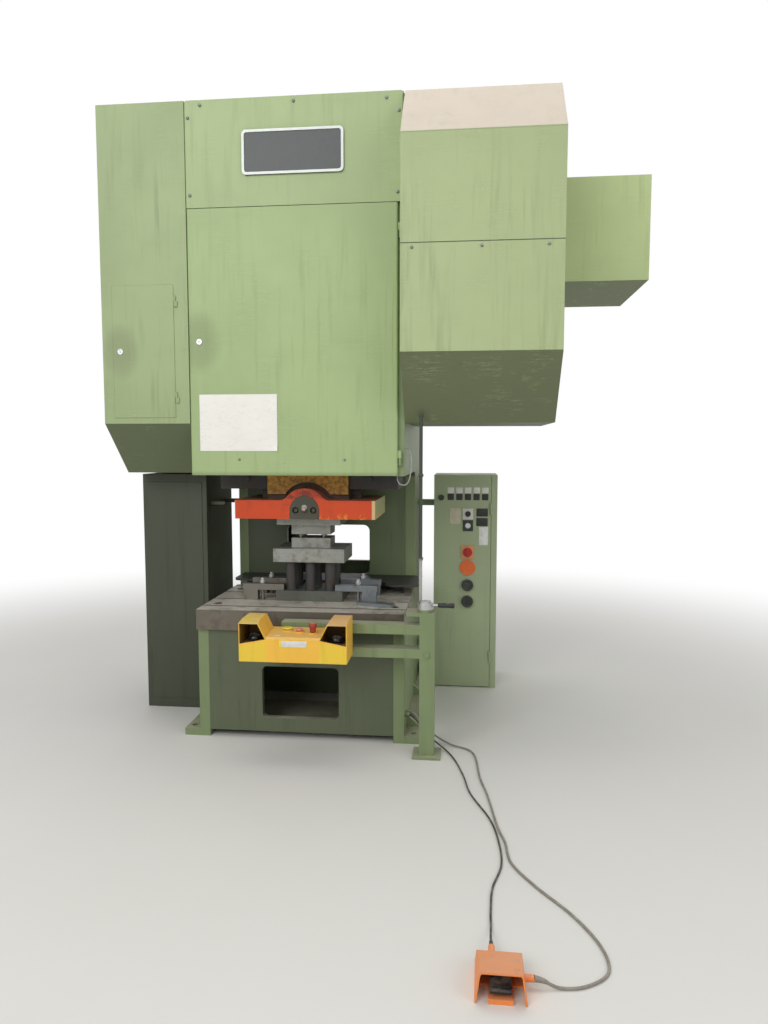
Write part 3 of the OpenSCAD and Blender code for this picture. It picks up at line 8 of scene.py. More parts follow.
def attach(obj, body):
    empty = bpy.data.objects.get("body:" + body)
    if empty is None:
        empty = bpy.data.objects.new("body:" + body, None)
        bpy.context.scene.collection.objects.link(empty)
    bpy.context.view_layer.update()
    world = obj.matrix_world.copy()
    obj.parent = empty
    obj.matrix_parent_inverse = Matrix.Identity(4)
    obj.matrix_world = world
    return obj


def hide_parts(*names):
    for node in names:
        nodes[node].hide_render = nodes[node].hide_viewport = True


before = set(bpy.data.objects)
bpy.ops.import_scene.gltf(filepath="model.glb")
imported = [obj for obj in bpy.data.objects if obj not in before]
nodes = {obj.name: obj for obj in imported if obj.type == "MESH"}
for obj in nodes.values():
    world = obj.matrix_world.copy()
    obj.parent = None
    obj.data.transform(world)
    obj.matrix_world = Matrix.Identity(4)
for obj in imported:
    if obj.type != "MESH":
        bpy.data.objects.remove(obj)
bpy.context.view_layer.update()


# Camera at the place and angle of the photograph
focal_px, long_side_px, sensor_mm = 770, 1024, 36
eye = (0.937, -4.58, 1.67)
down, to_the_left = math.radians(4.97), math.radians(6.28)

camera_data = bpy.data.cameras.new("camera")
camera_data.sensor_width = sensor_mm
camera_data.lens = focal_px / long_side_px * sensor_mm
camera_data.clip_end = 80
camera = bpy.data.objects.new("camera", camera_data)
camera.location = eye
camera.rotation_euler = (math.radians(90) - down, 0, to_the_left)
bpy.context.scene.collection.objects.link(camera)
bpy.context.scene.camera = camera


def srgb(r, g, b):
    """A colour as it is seen on a screen, made linear."""
    def linear(c):
        c = c / 255
        return c / 12.92 if c <= 0.04045 else ((c + 0.055) / 1.055) ** 2.4
    return (linear(r), linear(g), linear(b), 1.0)


def shade(colour, k):
    """A colour made darker, or lighter where k is above 1."""
    return tuple(min(1.0, c * k) for c in colour[:3]) + (1.0,)


class Wire:
    """A socket's value. Sums on it add Math nodes to its shading."""

    def __init__(self, shading, socket):
        self.shading = shading
        self.socket = socket

    def sum_of(self, operation, a, b):
        return self.shading.add("ShaderNodeMath", {"operation": operation}, {0: a, 1: b})

    def __add__(self, other):
        return self.sum_of("ADD", self, other)

    def __radd__(self, other):
        return self.sum_of("ADD", other, self)

    def __sub__(self, other):
        return self.sum_of("SUBTRACT", self, other)

    def __rsub__(self, other):
        return self.sum_of("SUBTRACT", other, self)

    def __mul__(self, other):
        return self.sum_of("MULTIPLY", self, other)

    def __rmul__(self, other):
        return self.sum_of("MULTIPLY", other, self)

    def __abs__(self):
        return self.sum_of("ABSOLUTE", self, 0.0)

    def at_least(self, other):
        return self.sum_of("MAXIMUM", self, other)


class Shading:
    """The nodes of a material or of the background."""

    def __init__(self, tree):
        self.tree = tree
        self.tree.nodes.clear()

    def add(self, kind, settings=None, values=None, out=0):
        node = self.tree.nodes.new(kind)
        for key, value in (settings or {}).items():
            setattr(node, key, value)
        for key, value in (values or {}).items():
            if isinstance(value, Wire):
                self.tree.links.new(value.socket, node.inputs[key])
            else:
                node.inputs[key].default_value = value
        return Wire(self, node.outputs[out])

    def end(self, kind, surface):
        node = self.tree.nodes.new(kind)
        self.tree.links.new(surface.socket, node.inputs["Surface"])


class Finish(Shading):
    """A material, with the measures on a surface that paint and wear depend on."""

    def __init__(self, name):
        self.material = bpy.data.materials.new(name)
        self.material.use_nodes = True
        super().__init__(self.material.node_tree)
        self.place = self.add("ShaderNodeTexCoord", out="Object")
        self.facing = self.add("ShaderNodeNewGeometry", out="Normal")
        self.x, self.y, self.z = self.split(self.place)
        self.right, self.back, self.up = self.split(self.facing)

    def split(self, vector):
        axes = self.add("ShaderNodeSeparateXYZ", None, {0: vector})
        return [Wire(self, s) for s in axes.socket.node.outputs]

    def noise(self, scale, detail=3, rough=0.55, stretch=(1, 1, 1), turn=(0, 0, 0), seed=0):
        """Cloudy noise of so many patches to a metre."""
        place = self.add("ShaderNodeMapping", None, {
            "Vector": self.place, "Location": (seed * 3.7, seed * 1.9, seed * 2.3),
            "Rotation": turn, "Scale": stretch,
        })
        return self.add("ShaderNodeTexNoise", None, {
            "Vector": place, "Scale": scale, "Detail": detail, "Roughness": rough,
        })

    def rise(self, value, low, high):
        """0 up to low, 1 from high, and smooth between them. It falls where low is above high."""
        if low > high:
            return 1 - self.rise(value, high, low)
        return self.add("ShaderNodeMapRange", {"interpolation_type": "SMOOTHSTEP"}, {
            "Value": value, "From Min": low, "From Max": high,
        })

    def band(self, value, low, high, soft):
        """1 from low to high, and 0 beyond, past a soft edge."""
        return self.rise(value, low - soft, low) * self.rise(value, high + soft, high)

    def mix(self, share, a, b):
        """A share of colour b over colour a. The numbers are the Mix node's colour sockets."""
        return self.add("ShaderNodeMix", {"data_type": "RGBA"}, {0: share, 6: a, 7: b}, out=2)

    def edges(self, radius):
        """The rounded normal near edges, and how near the edge a point is."""
        normal = self.add("ShaderNodeBevel", {"samples": 4}, {"Radius": radius})
        along = self.add("ShaderNodeVectorMath", {"operation": "DOT_PRODUCT"}, {
            0: normal, 1: self.facing,
        }, out="Value")
        return normal, self.rise(1 - along, 0.01, 0.25)

    def surface(self, colour, roughness, height=None, depth=0.001, strength=0.4, normal=None,
                metallic=0.0):
        values = {"Base Color": colour, "Roughness": roughness, "Metallic": metallic}
        if height is not None:
            bump = {"Height": height, "Distance": depth, "Strength": strength}
            if normal is not None:
                bump["Normal"] = normal
            values["Normal"] = self.add("ShaderNodeBump", None, bump)
        return self.add("ShaderNodeBsdfPrincipled", None, values)

    def shader(self, *values, **more):
        self.end("ShaderNodeOutputMaterial", self.surface(*values, **more))
        return self.material


dust_colour = srgb(206, 196, 180)
rust_colour = srgb(118, 74, 46)
oil_colour = srgb(46, 42, 34)
primer_colour = srgb(150, 140, 122)
handled_colour = srgb(104, 112, 78)


def painted(name, colour, seed=0, zones=None, grime=0.35, chips=0.4, dust=0.55, scuffs=0.3,
            roughness=0.42, edge=0.003):
    """Old machine paint: cloudy tone, grime in runs, painted shade on faces that look down, scuffs,
    chips along the edges, dust on top.
    """
    f = Finish(name)
    cloud = f.noise(1.3, 4, 0.6, seed=seed)
    patch = f.noise(6, 5, 0.65, seed=seed + 1)
    speck = f.noise(75, 3, 0.6, seed=seed + 2)
    runs = f.noise(1, 5, 0.62, stretch=(22, 22, 1.5), seed=seed + 3)
    stroke = f.noise(1, 4, 0.7, stretch=(3, 3, 70), turn=(0.3, 0.5, 0.2), seed=seed + 4)
    normal, edge_near = f.edges(edge)
    base = f.mix(f.rise(cloud, 0.32, 0.68), shade(colour, 0.93), shade(colour, 1.05))
    base = f.mix(f.rise(patch, 0.42, 0.8) * 0.3, base, shade(colour, 0.84))
    if zones:
        base = zones(f, base)
    dirt = f.rise(runs, 0.5, 0.78) * f.rise(cloud, 0.36, 0.62) * grime
    base = f.mix(dirt, base, shade(colour, 0.45))
    # Faces that look down are darkened: painted shade on undersides and lower chamfers.
    under = f.rise(f.up, -0.3, -0.65)
    base = f.mix(under * 0.85, base, shade(colour, 0.25))
    scuff = f.band(stroke, 0.5, 0.512, 0.008) * f.rise(patch, 0.5, 0.62) * scuffs
    base = f.mix(scuff, base, shade(colour, 1.35))
    spots = f.rise(speck, 0.66, 0.72) * f.rise(patch, 0.55, 0.7) * chips
    base = f.mix(spots, base, rust_colour)
    rim = f.rise(edge_near * (0.35 + speck), 0.35, 0.75) * f.rise(patch, 0.4, 0.58) * chips
    base = f.mix(rim, base, primer_colour)
    lying = f.rise(f.up, 0.35, 0.9) * (0.45 + f.rise(patch, 0.3, 0.7) * 0.55) * dust
    base = f.mix(lying, base, dust_colour)
    rough = roughness + 0.12 * patch + 0.3 * lying + 0.15 * dirt
    height = 0.5 * f.noise(240, 2, 0.5, seed=seed + 5) + 0.5 * f.noise(2.2, 2, 0.4, seed=seed + 6)
    return f.shader(base, rough, height, 0.0012, 0.18, normal)


def machined(name, colour, seed=0, zones=None, rust=0.2, oil=0.3, grain=(1, 1, 1), roughness=0.38,
             metallic=0.85, edge=0.0015):
    """Cut steel or iron: fine tool marks, oil in patches, a little rust, bright edges."""
    f = Finish(name)
    cloud = f.noise(5, 4, 0.6, seed=seed)
    patch = f.noise(17, 5, 0.65, seed=seed + 1)
    speck = f.noise(140, 3, 0.6, seed=seed + 2)
    marks = f.noise(1, 3, 0.6, stretch=tuple(260 * g for g in grain), seed=seed + 3)
    normal, edge_near = f.edges(edge)
    base = f.mix(f.rise(cloud, 0.3, 0.7), shade(colour, 0.82), shade(colour, 1.1))
    base = f.mix(f.rise(marks, 0.4, 0.65) * 0.25, base, shade(colour, 1.25))
    if zones:
        base = zones(f, base)
    rusty = f.rise(speck * 0.4 + patch * 0.7, 0.56, 0.7) * rust
    oily = f.rise(cloud * 0.6 + patch * 0.5, 0.55, 0.68) * oil
    base = f.mix(rusty, base, rust_colour)
    base = f.mix(oily, base, oil_colour)
    base = f.mix(edge_near * 0.5, base, shade(colour, 1.5))
    rough = roughness + 0.25 * rusty + 0.2 * speck - 0.12 * oily
    height = 0.7 * marks + 0.3 * speck
    return f.shader(base, rough, height, 0.0006, 0.25, normal, metallic=metallic)


def moulded(name, colour, roughness=0.4, seed=0, worn=0.3, edge=0.0015, zones=None):
    """Plastic or rubber, a little worn and dusty."""
    f = Finish(name)
    patch = f.noise(28, 4, 0.6, seed=seed)
    grain = f.noise(520, 2, 0.5, seed=seed + 1)
    normal, edge_near = f.edges(edge)
    base = f.mix(f.rise(patch, 0.35, 0.7), shade(colour, 0.9), shade(colour, 1.08))
    if zones:
        base = zones(f, base)
    pale = f.mix(0.5, base, srgb(190, 184, 172))
    base = f.mix(edge_near * worn, base, pale)
    lying = f.rise(f.up, 0.5, 0.95) * f.rise(patch, 0.35, 0.75) * 0.35
    base = f.mix(lying, base, dust_colour)
    return f.shader(base, roughness + 0.15 * patch + 0.2 * lying, grain, 0.0003, 0.3, normal)


# What is painted or lies on single pieces, by its place in metres
def guard_zones(f, base):
    """Dust on the slope above the bevel, and a dark line at the seam between the shells: painted
    shadow of the gap, with dirt in it.
    """
    bevel_z, seam_z = 3.188, 2.660
    slope = f.rise(f.z, bevel_z - 0.004, bevel_z + 0.004) * f.rise(f.up, 0.3, 0.5)
    dusty = f.mix(f.noise(3, 4, 0.6, seed=4), srgb(209, 193, 176), srgb(190, 173, 154))
    base = f.mix(slope * 0.93, base, dusty)
    # Dark line at the seam: painted shadow of the thin gap between the shells, and dirt.
    seam = f.band(f.z, seam_z - 0.002, seam_z + 0.002, 0.0012)
    base = f.mix(seam * 0.85, base, srgb(52, 60, 40))
    corner = f.band(f.z, bevel_z - 0.005, bevel_z + 0.003, 0.003) * f.rise(f.back, -0.2, -0.6)
    return f.mix(corner * 0.4, base, srgb(120, 132, 92))


def hand_marks(f, lock_x, lock_z, reach):
    """How dirty hands have made the paint round a lock."""
    dx, dz = f.x - lock_x, f.z - lock_z
    return f.rise(dx * dx + dz * dz * 0.5, reach, 0.0005) * 0.35


def door_zones(f, base):
    """Hand marks, brown runs on the right and a darker lower hem."""
    hem_z = 1.506
    base = f.mix(hand_marks(f, -0.538, 2.233, 0.02), base, handled_colour)
    brown = f.noise(1, 4, 0.7, stretch=(60, 60, 1.2), seed=9)
    drip = f.band(f.x, 0.40, 0.53, 0.05) * f.band(f.z, 1.75, 2.45, 0.2) * f.rise(brown, 0.55, 0.7)
    base = f.mix(drip * 0.55, base, srgb(128, 108, 76))
    return f.mix(f.rise(f.z, hem_z + 0.024, hem_z) * 0.4, base, srgb(88, 98, 62))


def left_zones(f, base):
    return f.mix(hand_marks(f, -0.99, 2.185, 0.015), base, handled_colour)


cover_paint = painted("cover_paint", srgb(170, 188, 136), seed=1)
door_paint = painted("door_paint", srgb(167, 187, 132), seed=2, zones=door_zones)
left_paint = painted("left_paint", srgb(162, 178, 130), seed=3, zones=left_zones, grime=0.45)
guard_paint = painted("guard_paint", srgb(173, 187, 138), seed=5, zones=guard_zones)
motor_box_paint = painted("motor_box_paint", srgb(187, 202, 146), seed=6, dust=0.8)
frame_paint = painted("frame_paint", srgb(128, 144, 102), seed=7, grime=0.6, chips=0.6, scuffs=0.15)


def throat_zones(f, base):
    """Painted shade over the left part of the throat wall's front faces."""
    # Darker towards the left: painted shade, not grease.
    left_side_shade = f.rise(f.x, 0.06, -0.26) * f.rise(f.back, -0.5, -0.9)
    return f.mix(left_side_shade * 0.7, base, srgb(48, 54, 36))


# A darker copy of the frame green with more grime: its darker colour is painted shade inside the
# throat.
throat_paint_shaded = painted("throat_paint_shaded", srgb(104, 118, 84), seed=8, zones=throat_zones, grime=0.8,
                       chips=0.6, scuffs=0.1)
# A darker copy of the frame green with grime: its darker colour is painted shade on the bed.
bed_paint_shaded = painted("bed_paint_shaded", srgb(92, 101, 76), seed=44, grime=0.8, chips=0.6, scuffs=0.1)


def cabinet_zones(f, base):
    """The sockets, plates and switch surrounds that stand proud of the cabinet's door."""
    door_y, column_x, soft = 0.6596, 0.934, 0.001
    raised = f.rise(f.y, door_y, door_y - 0.0006)
    aside = f.x - column_x

    def patch(low, high, half):
        return raised * f.band(f.z, low, high, 0.0006) * f.rise(abs(aside), half + soft, half)

    def disc(z, radius):
        up = f.z - z
        return raised * f.rise(aside * aside + up * up, (radius + soft) ** 2, radius ** 2)

    base = f.mix(patch(1.165, 1.2415, 0.036), base, srgb(214, 214, 204))
    base = f.mix(patch(1.085, 1.1625, 0.036), base, srgb(38, 38, 36))
    base = f.mix(patch(0.896, 0.991, 0.045), base, srgb(214, 150, 96))
    base = f.mix(disc(0.836, 0.054), base, srgb(226, 104, 40))
    base = f.mix(disc(0.717, 0.041) + disc(0.604, 0.041), base, srgb(40, 44, 40))
    button_row = raised * f.band(f.z, 1.296, 1.342, soft)
    base = f.mix(button_row, base, srgb(44, 44, 42))
    return f.mix(button_row * f.rise(f.x, 0.775, 0.773), base, srgb(40, 38, 34))


cabinet_paint = painted("cabinet_paint", srgb(162, 175, 138), seed=10, zones=cabinet_zones,
                        grime=0.5)
# Dark grey-green: painted shade, as the cabinet stands in shadow under the left cover.
service_paint_shaded = painted("service_paint_shaded", srgb(66, 71, 54), seed=11, grime=0.6)
motor_paint = painted("motor_paint", srgb(86, 104, 92), seed=12, grime=0.6)


def ram_zones(f, base):
    """Ochre slide above the red flange, pale flange ends and soot. Grease and soot with painted
    shade go behind the front plate and over the hump on the shank clamp; undersides get painted
    shade.
    """
    flange_z, body_y, hump_z = 1.353, -0.158, 1.293
    chip = f.noise(38, 4, 0.6, seed=20)
    above = f.rise(f.y, body_y - 0.0005, body_y + 0.0005) * f.rise(f.z, flange_z - 0.0005,
                                                                   flange_z + 0.0005)
    # Near-black behind the front plate: grease, and painted shade in the recess.
    recess = above * f.rise(f.y, -0.134, -0.131)
    ochre = f.mix(f.rise(chip, 0.4, 0.62), srgb(206, 154, 52), srgb(150, 106, 38))
    base = f.mix(above, base, ochre)
    base = f.mix(recess * 0.93, base, srgb(30, 27, 24))
    flange = f.rise(f.z, flange_z + 0.003, flange_z)
    right_end = f.rise(f.right, 0.5, 0.8) * f.rise(f.x, 0.40, 0.405) * flange
    base = f.mix(right_end, base, srgb(172, 174, 126))
    corner = f.rise(f.x, 0.388, 0.394) * f.rise(f.back, -0.5, -0.8) * flange
    base = f.mix(corner * 0.8, base, srgb(222, 204, 150))
    left_end = f.rise(f.x, -0.4055, -0.4075) * flange
    base = f.mix(left_end * 0.7, base, srgb(232, 196, 160))
    low = f.rise(f.z, 1.285, 1.25) * f.rise(chip, 0.52, 0.6) * f.rise(f.x, -0.1, 0.3)
    base = f.mix(low * 0.8, base, srgb(226, 176, 66))
    sooty = f.rise(f.noise(9, 4, 0.6, seed=21), 0.52, 0.78)
    base = f.mix(sooty * 0.3, base, srgb(96, 52, 30))
    # Dark patchy arch at the top of the hump: soot, and painted shadow of the gap above it.
    rise = f.z - hump_z
    hump = f.rise(f.x * f.x + rise * rise, 0.0205, 0.014) * f.rise(f.z, 1.35, 1.37)
    base = f.mix(hump * f.rise(chip, 0.35, 0.6) * 0.8, base, srgb(92, 42, 30))
    # Faces that look down go dark grey: painted shade on the undersides.
    return f.mix(f.rise(f.up, -0.3, -0.8) * 0.8, base, srgb(70, 66, 60))


ram_paint = painted("ram_paint", srgb(216, 72, 14), seed=13, zones=ram_zones, grime=0.5,
                    chips=0.7, dust=0.35)


def console_zones(f, base):
    """Yellow and pale roofs, bright yellow ledges, painted highlights on the roofs' front rims, and
    painted shade inside the two hoods.
    """
    middle_x, inner, outer, top_z = 0.050, 0.139, 0.279, 0.770
    side = abs(f.x - middle_x)
    left = f.rise(f.x, middle_x + 0.002, middle_x - 0.002)
    slope = 0.5 * (f.z - 0.678).at_least(0.0)
    roof = f.rise(f.up, 0.5, 0.9) * f.rise(f.z, 0.75, 0.752)
    tone = f.mix(left, srgb(243, 184, 104), srgb(246, 208, 78))
    base = f.mix(roof, base, tone)
    hood = f.rise(side, inner - 0.0005, inner + 0.0005)
    ledge = hood * f.rise(f.back, -0.5, -0.9) * f.rise(f.z + 0.19 * side, 0.6965, 0.6955)
    base = f.mix(ledge, base, srgb(244, 206, 62))
    across = (f.rise(side - slope, inner + 0.0018, inner + 0.0028)
              * f.rise(side, outer + 0.0003, outer - 0.0003))
    within = f.rise(f.y, -0.7975, -0.795) * f.rise(f.y, -0.6025, -0.6035)
    under = (top_z - f.z) - 0.1333 * (-0.725 - f.y).at_least(0.0)
    inside = across * within * f.rise(under, 0.002, 0.003) * f.rise(f.z, 0.6445, 0.6455)
    # Dark brown inside the hoods: painted shade.
    base = f.mix(inside * 0.8, base, srgb(72, 36, 20))
    # Pale rims along the roofs' front edges: painted highlight.
    rim = f.rise(f.back, -0.6, -0.9) * hood * f.rise(f.z, 0.75, 0.755)
    return f.mix(rim * 0.6, base, srgb(250, 214, 150))


console_paint = painted("console_paint", srgb(255, 196, 70), seed=14, zones=console_zones,
                        grime=0.4, chips=0.5, dust=0.3)
pedal_paint = painted("pedal_paint", srgb(246, 144, 70), seed=15, grime=0.5, chips=0.5, dust=0.35)


def bolster_zones(f, base):
    """A brown front, a lighter top that is worn steel with a painted highlight, and wet patches."""
    front = f.rise(f.back, -0.5, -0.9)
    base = f.mix(front * 0.7, base, srgb(88, 80, 65))
    # Top faces lighter: worn steel, and a painted highlight from the light above.
    top = f.rise(f.up, 0.6, 0.9)
    base = f.mix(top * 0.9, base, srgb(226, 220, 206))
    wet = f.rise(f.noise(3.2, 4, 0.6, seed=31), 0.5, 0.66)
    return f.mix(wet * 0.3, base, srgb(104, 94, 80))


bolster_steel = machined("bolster_steel", srgb(150, 144, 134), seed=16, zones=bolster_zones,
                         rust=0.35, oil=0.3, grain=(0.02, 1, 1), metallic=0.3)
tool_steel = machined("tool_steel", srgb(150, 152, 145), seed=17, rust=0.25, oil=0.3,
                      grain=(0.03, 1, 1), metallic=0.7)
dark_iron = machined("dark_iron", srgb(74, 74, 72), seed=18, rust=0.3, oil=0.5, metallic=0.5,
                     roughness=0.5)
bare_iron = machined("bare_iron", srgb(118, 120, 114), seed=19, rust=0.25, oil=0.35, metallic=0.6,
                     roughness=0.45)
bright_steel = machined("bright_steel", srgb(196, 198, 198), seed=22, rust=0.05, oil=0.15,
                        roughness=0.24, metallic=0.95)
bronze = machined("bronze", srgb(176, 132, 70), seed=23, rust=0.05, oil=0.3, roughness=0.32,
                  metallic=0.9)
table_iron = machined("table_iron", srgb(60, 61, 59), seed=24, rust=0.2, oil=0.5, metallic=0.4,
                      roughness=0.42)


def strap_zones(f, base):
    """Brownish clamps on the left, bluish ones on the right, bright nuts."""
    nut_z = 0.846
    on_table = f.rise(f.z, 0.95, 0.90) * f.rise(f.z, 0.70, 0.74)
    base = f.mix(f.rise(f.x, 0.02, -0.02) * on_table * 0.55, base, srgb(120, 108, 90))
    base = f.mix(f.rise(f.x, -0.02, 0.02) * on_table * 0.35, base, srgb(120, 130, 140))
    nut = f.rise(f.z, nut_z, nut_z + 0.0015) * on_table
    return f.mix(nut * 0.8, base, srgb(206, 208, 208))


strap_steel = machined("strap_steel", srgb(128, 132, 132), seed=25, zones=strap_zones, rust=0.2,
                       oil=0.35, metallic=0.7)
die_iron = machined("die_iron", srgb(94, 98, 90), seed=45, rust=0.25, oil=0.35, metallic=0.55,
                    roughness=0.45)


def clamp_zones(f, base):
    """The bright head of the bolt in the middle."""
    up = f.z - 1.312
    front = f.rise(f.back, -0.5, -0.9)
    bolt = f.rise(f.x * f.x + up * up, 0.0003, 0.0002) * front
    return f.mix(bolt * 0.8, base, srgb(196, 190, 176))


clamp_iron = machined("clamp_iron", srgb(80, 80, 68), seed=46, zones=clamp_zones, rust=0.2,
                      oil=0.45, metallic=0.4, roughness=0.5)


def plate_finish():
    f = Finish("nameplate_cast")
    normal, edge_near = f.edges(0.002)
    speck = f.noise(180, 3, 0.6, seed=26)
    patch = f.noise(14, 4, 0.6, seed=27)
    inside = f.rise(f.y, -0.4408, -0.4388)
    dark = f.mix(patch, srgb(58, 61, 62), srgb(88, 92, 90))
    rim = f.mix(speck, srgb(212, 216, 212), srgb(188, 192, 188))
    base = f.mix(inside, rim, dark)
    return f.shader(base, 0.34 + 0.2 * patch, speck, 0.0008, 0.4, normal, metallic=0.3)


nameplate_cast = plate_finish()
black_plastic = moulded("black_plastic", srgb(34, 34, 34), seed=28)
red_plastic = moulded("red_plastic", srgb(186, 34, 28), seed=29, roughness=0.32)
yellow_plastic = moulded("yellow_plastic", srgb(244, 226, 62), seed=30, roughness=0.32)
pink_plastic = moulded("pink_plastic", srgb(226, 132, 112), seed=32, roughness=0.32)
palm_black = moulded("palm_black", srgb(26, 26, 27), seed=42, roughness=0.16, worn=0.2)


def stop_finish():
    f = Finish("stop_red")
    patch = f.noise(60, 4, 0.6, seed=43)
    side = f.mix(patch, srgb(150, 50, 38), srgb(172, 70, 54))
    base = f.mix(f.rise(f.up, 0.6, 0.9), side, srgb(206, 134, 120))
    return f.shader(base, 0.35 + 0.2 * patch)


stop_red = stop_finish()
belt_rubber = moulded("belt_rubber", srgb(38, 37, 36), seed=33, roughness=0.7)
cord_grey = moulded("cord_grey", srgb(142, 136, 126), seed=34, roughness=0.55)
cord_black = moulded("cord_black", srgb(58, 54, 50), seed=35, roughness=0.5)
hose_grey = moulded("hose_grey", srgb(176, 176, 170), seed=36, roughness=0.45)


def pipe_zones(f, base):
    """Dark green paint above the lower collar."""
    return f.mix(f.rise(f.z, 1.045, 1.065), base, srgb(58, 66, 52))


pipe_grey = moulded("pipe_grey", srgb(176, 176, 170), seed=47, roughness=0.45, zones=pipe_zones)
label_white = moulded("label_white", srgb(226, 226, 220), seed=37, roughness=0.45)
label_beige = moulded("label_beige", srgb(196, 190, 166), seed=41, roughness=0.45)


def paper_finish():
    f = Finish("paper_in_sleeve")
    soft = f.noise(9, 4, 0.6, seed=39)
    creases = f.noise(5, 3, 0.7, stretch=(1, 1, 3), turn=(0, 0.5, 0), seed=40)
    # Faint darker lines along the creases: painted shade in the folds.
    line = f.band(creases, 0.5, 0.512, 0.01)
    base = f.mix(soft, srgb(252, 250, 242), srgb(242, 240, 231))
    base = f.mix(line * 0.3, base, srgb(226, 224, 215))
    return f.shader(base, 0.3 + 0.2 * soft, soft, 0.0015, 0.3)


paper_in_sleeve = paper_finish()


def dress(finish, *names):
    """A CAD node's finish."""
    for name in names:
        holder = nodes[name]
        if not holder.material_slots:
            holder.data.materials.append(finish)
        for place in holder.material_slots:
            place.material = finish


dress(cover_paint, "upper_cover")
dress(door_paint, "main_door")
dress(left_paint, "left_cover", "left_door")
dress(guard_paint, "flywheel_guard_upper", "flywheel_guard_lower")
dress(motor_box_paint, "motor_housing")
dress(frame_paint, "side_plates", "console_frame")
dress(throat_paint_shaded, "column_webs")
dress(bed_paint_shaded, "bed")
dress(cabinet_paint, "control_cabinet", "cabinet_door")
dress(service_paint_shaded, "service_cabinet")
dress(motor_paint, "motor", "cam_switch", "connecting_rod")
dress(ram_paint, "ram")
dress(console_paint, "console_housing")
dress(pedal_paint, "foot_switch")
dress(bolster_steel, "bolster")
dress(tool_steel, "die_table", "upper_die", "crankshaft")
dress(bare_iron, "crank_bearings", "flywheel")
dress(dark_iron, "guide_posts", "gibs", "die_columns", "motor_pulley", "frame_bolts",
      "clutch_brake")
dress(die_iron, "die_base")
dress(clamp_iron, "shank_clamp")
dress(table_iron, "rear_table")
dress(strap_steel, "die_clamps")
dress(bright_steel, "ball_screw", "hand_lever", "main_door_lock", "left_door_lock", "key_switch")
dress(bronze, "stroke_sleeve")
dress(nameplate_cast, "nameplate")
dress(belt_rubber, "drive_belts")
dress(black_plastic, "foot_pedal", "mode_selector", "cabinet_button_1", "cabinet_button_2",
      "cabinet_button_3", "cabinet_button_4", "cabinet_button_5", "palm_button_left",
      "palm_button_right")
dress(red_plastic, "main_switch", "stop_button")
dress(yellow_plastic, "yellow_button")
dress(pink_plastic, "pink_button")
dress(hose_grey, "conduits")
dress(cord_grey, "foot_cable")
dress(cord_black, "foot_lead")


# How pieces are made
def axis_matrix(at, axis):
    """Turns a form made along Z to lie along an axis, at a point."""
    turn = Vector((0, 0, 1)).rotation_difference(Vector(axis)).to_matrix().to_4x4()
    return Matrix.Translation(Vector(at)) @ turn


def block(bm, low, high, round_by=0.001, steps=2):
    low, high = Vector(low), Vector(high)
    size = high - low
    place = Matrix.Translation((low + high) / 2) @ Matrix.Diagonal((*size, 1))
    made = bmesh.ops.create_cube(bm, size=1, matrix=place)["verts"]
    lines = list({line for v in made for line in v.link_edges})
    bmesh.ops.bevel(bm, geom=lines, offset=round_by, offset_type="OFFSET", segments=steps,
                    profile=0.5, affect="EDGES", material=-1, clamp_overlap=True)


def turned(bm, profile, at, axis, steps=32):
    """A turned form. The profile is a line of (radius, height) points, spun round its axis."""
    before = set(bm.verts)
    row = [bm.verts.new((r, 0, h)) for r, h in profile]
    lines = [bm.edges.new(pair) for pair in zip(row, row[1:])]
    bmesh.ops.spin(bm, geom=row + lines, axis=(0, 0, 1), cent=(0, 0, 0), angle=math.tau,
                   steps=steps, use_merge=True, use_duplicate=False)
    made = [v for v in bm.verts if v not in before]
    bmesh.ops.transform(bm, matrix=axis_matrix(at, axis), verts=made)
    bmesh.ops.remove_doubles(bm, verts=made, dist=1e-6)


def piece(name, bm, finish, body, replaces=(), angle=35):
    """The finished mesh as a piece of the press, which rides on a body."""
    bmesh.ops.recalc_face_normals(bm, faces=bm.faces)
    mesh = bpy.data.meshes.new(name)
    bm.to_mesh(mesh)
    bm.free()
    mesh.polygons.foreach_set("use_smooth", [True] * len(mesh.polygons))
    mesh.set_sharp_from_angle(angle=math.radians(angle))
    mesh.materials.append(finish)
    made = bpy.data.objects.new(name, mesh)
    bpy.context.scene.collection.objects.link(made)
    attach(made, body)
    if replaces:
        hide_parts(*replaces)
    return made


# The cables
def smooth_line(route, steps=8):
    """A smooth line through the points of a route, in metres."""
    points = [Vector(p) / 1000 for p in route]
    line = []
    for i in range(len(points) - 1):
        a, b, c = points[max(i - 1, 0)], points[i], points[i + 1]
        d = points[min(i + 2, len(points) - 1)]
        for k in range(steps):
            t = k / steps
            line.append(0.5 * (2 * b + (c - a) * t + (2 * a - 5 * b + 4 * c - d) * t * t
                               + (3 * b - a - 3 * c + d) * t * t * t))
    return line + [points[-1]]


def length_of(line):
    return sum((b - a).length for a, b in zip(line, line[1:]))


def curve_piece(name, line, radius, finish, body, taper=None):
    """A round line along its points. taper gives the radius at each point as a share of radius."""
    data = bpy.data.curves.new(name, "CURVE")
    data.dimensions = "3D"
    data.bevel_depth = radius
    data.bevel_resolution = 5
    data.use_fill_caps = True
    spline = data.splines.new("POLY")
    spline.points.add(len(line) - 1)
    for i, p in enumerate(line):
        spline.points[i].co = (*p, 1)
        spline.points[i].radius = taper[i] if taper else 1
    spline.use_smooth = True
    data.materials.append(finish)
    made = bpy.data.objects.new(name, data)
    bpy.context.scene.collection.objects.link(made)
    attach(made, body)
    return made


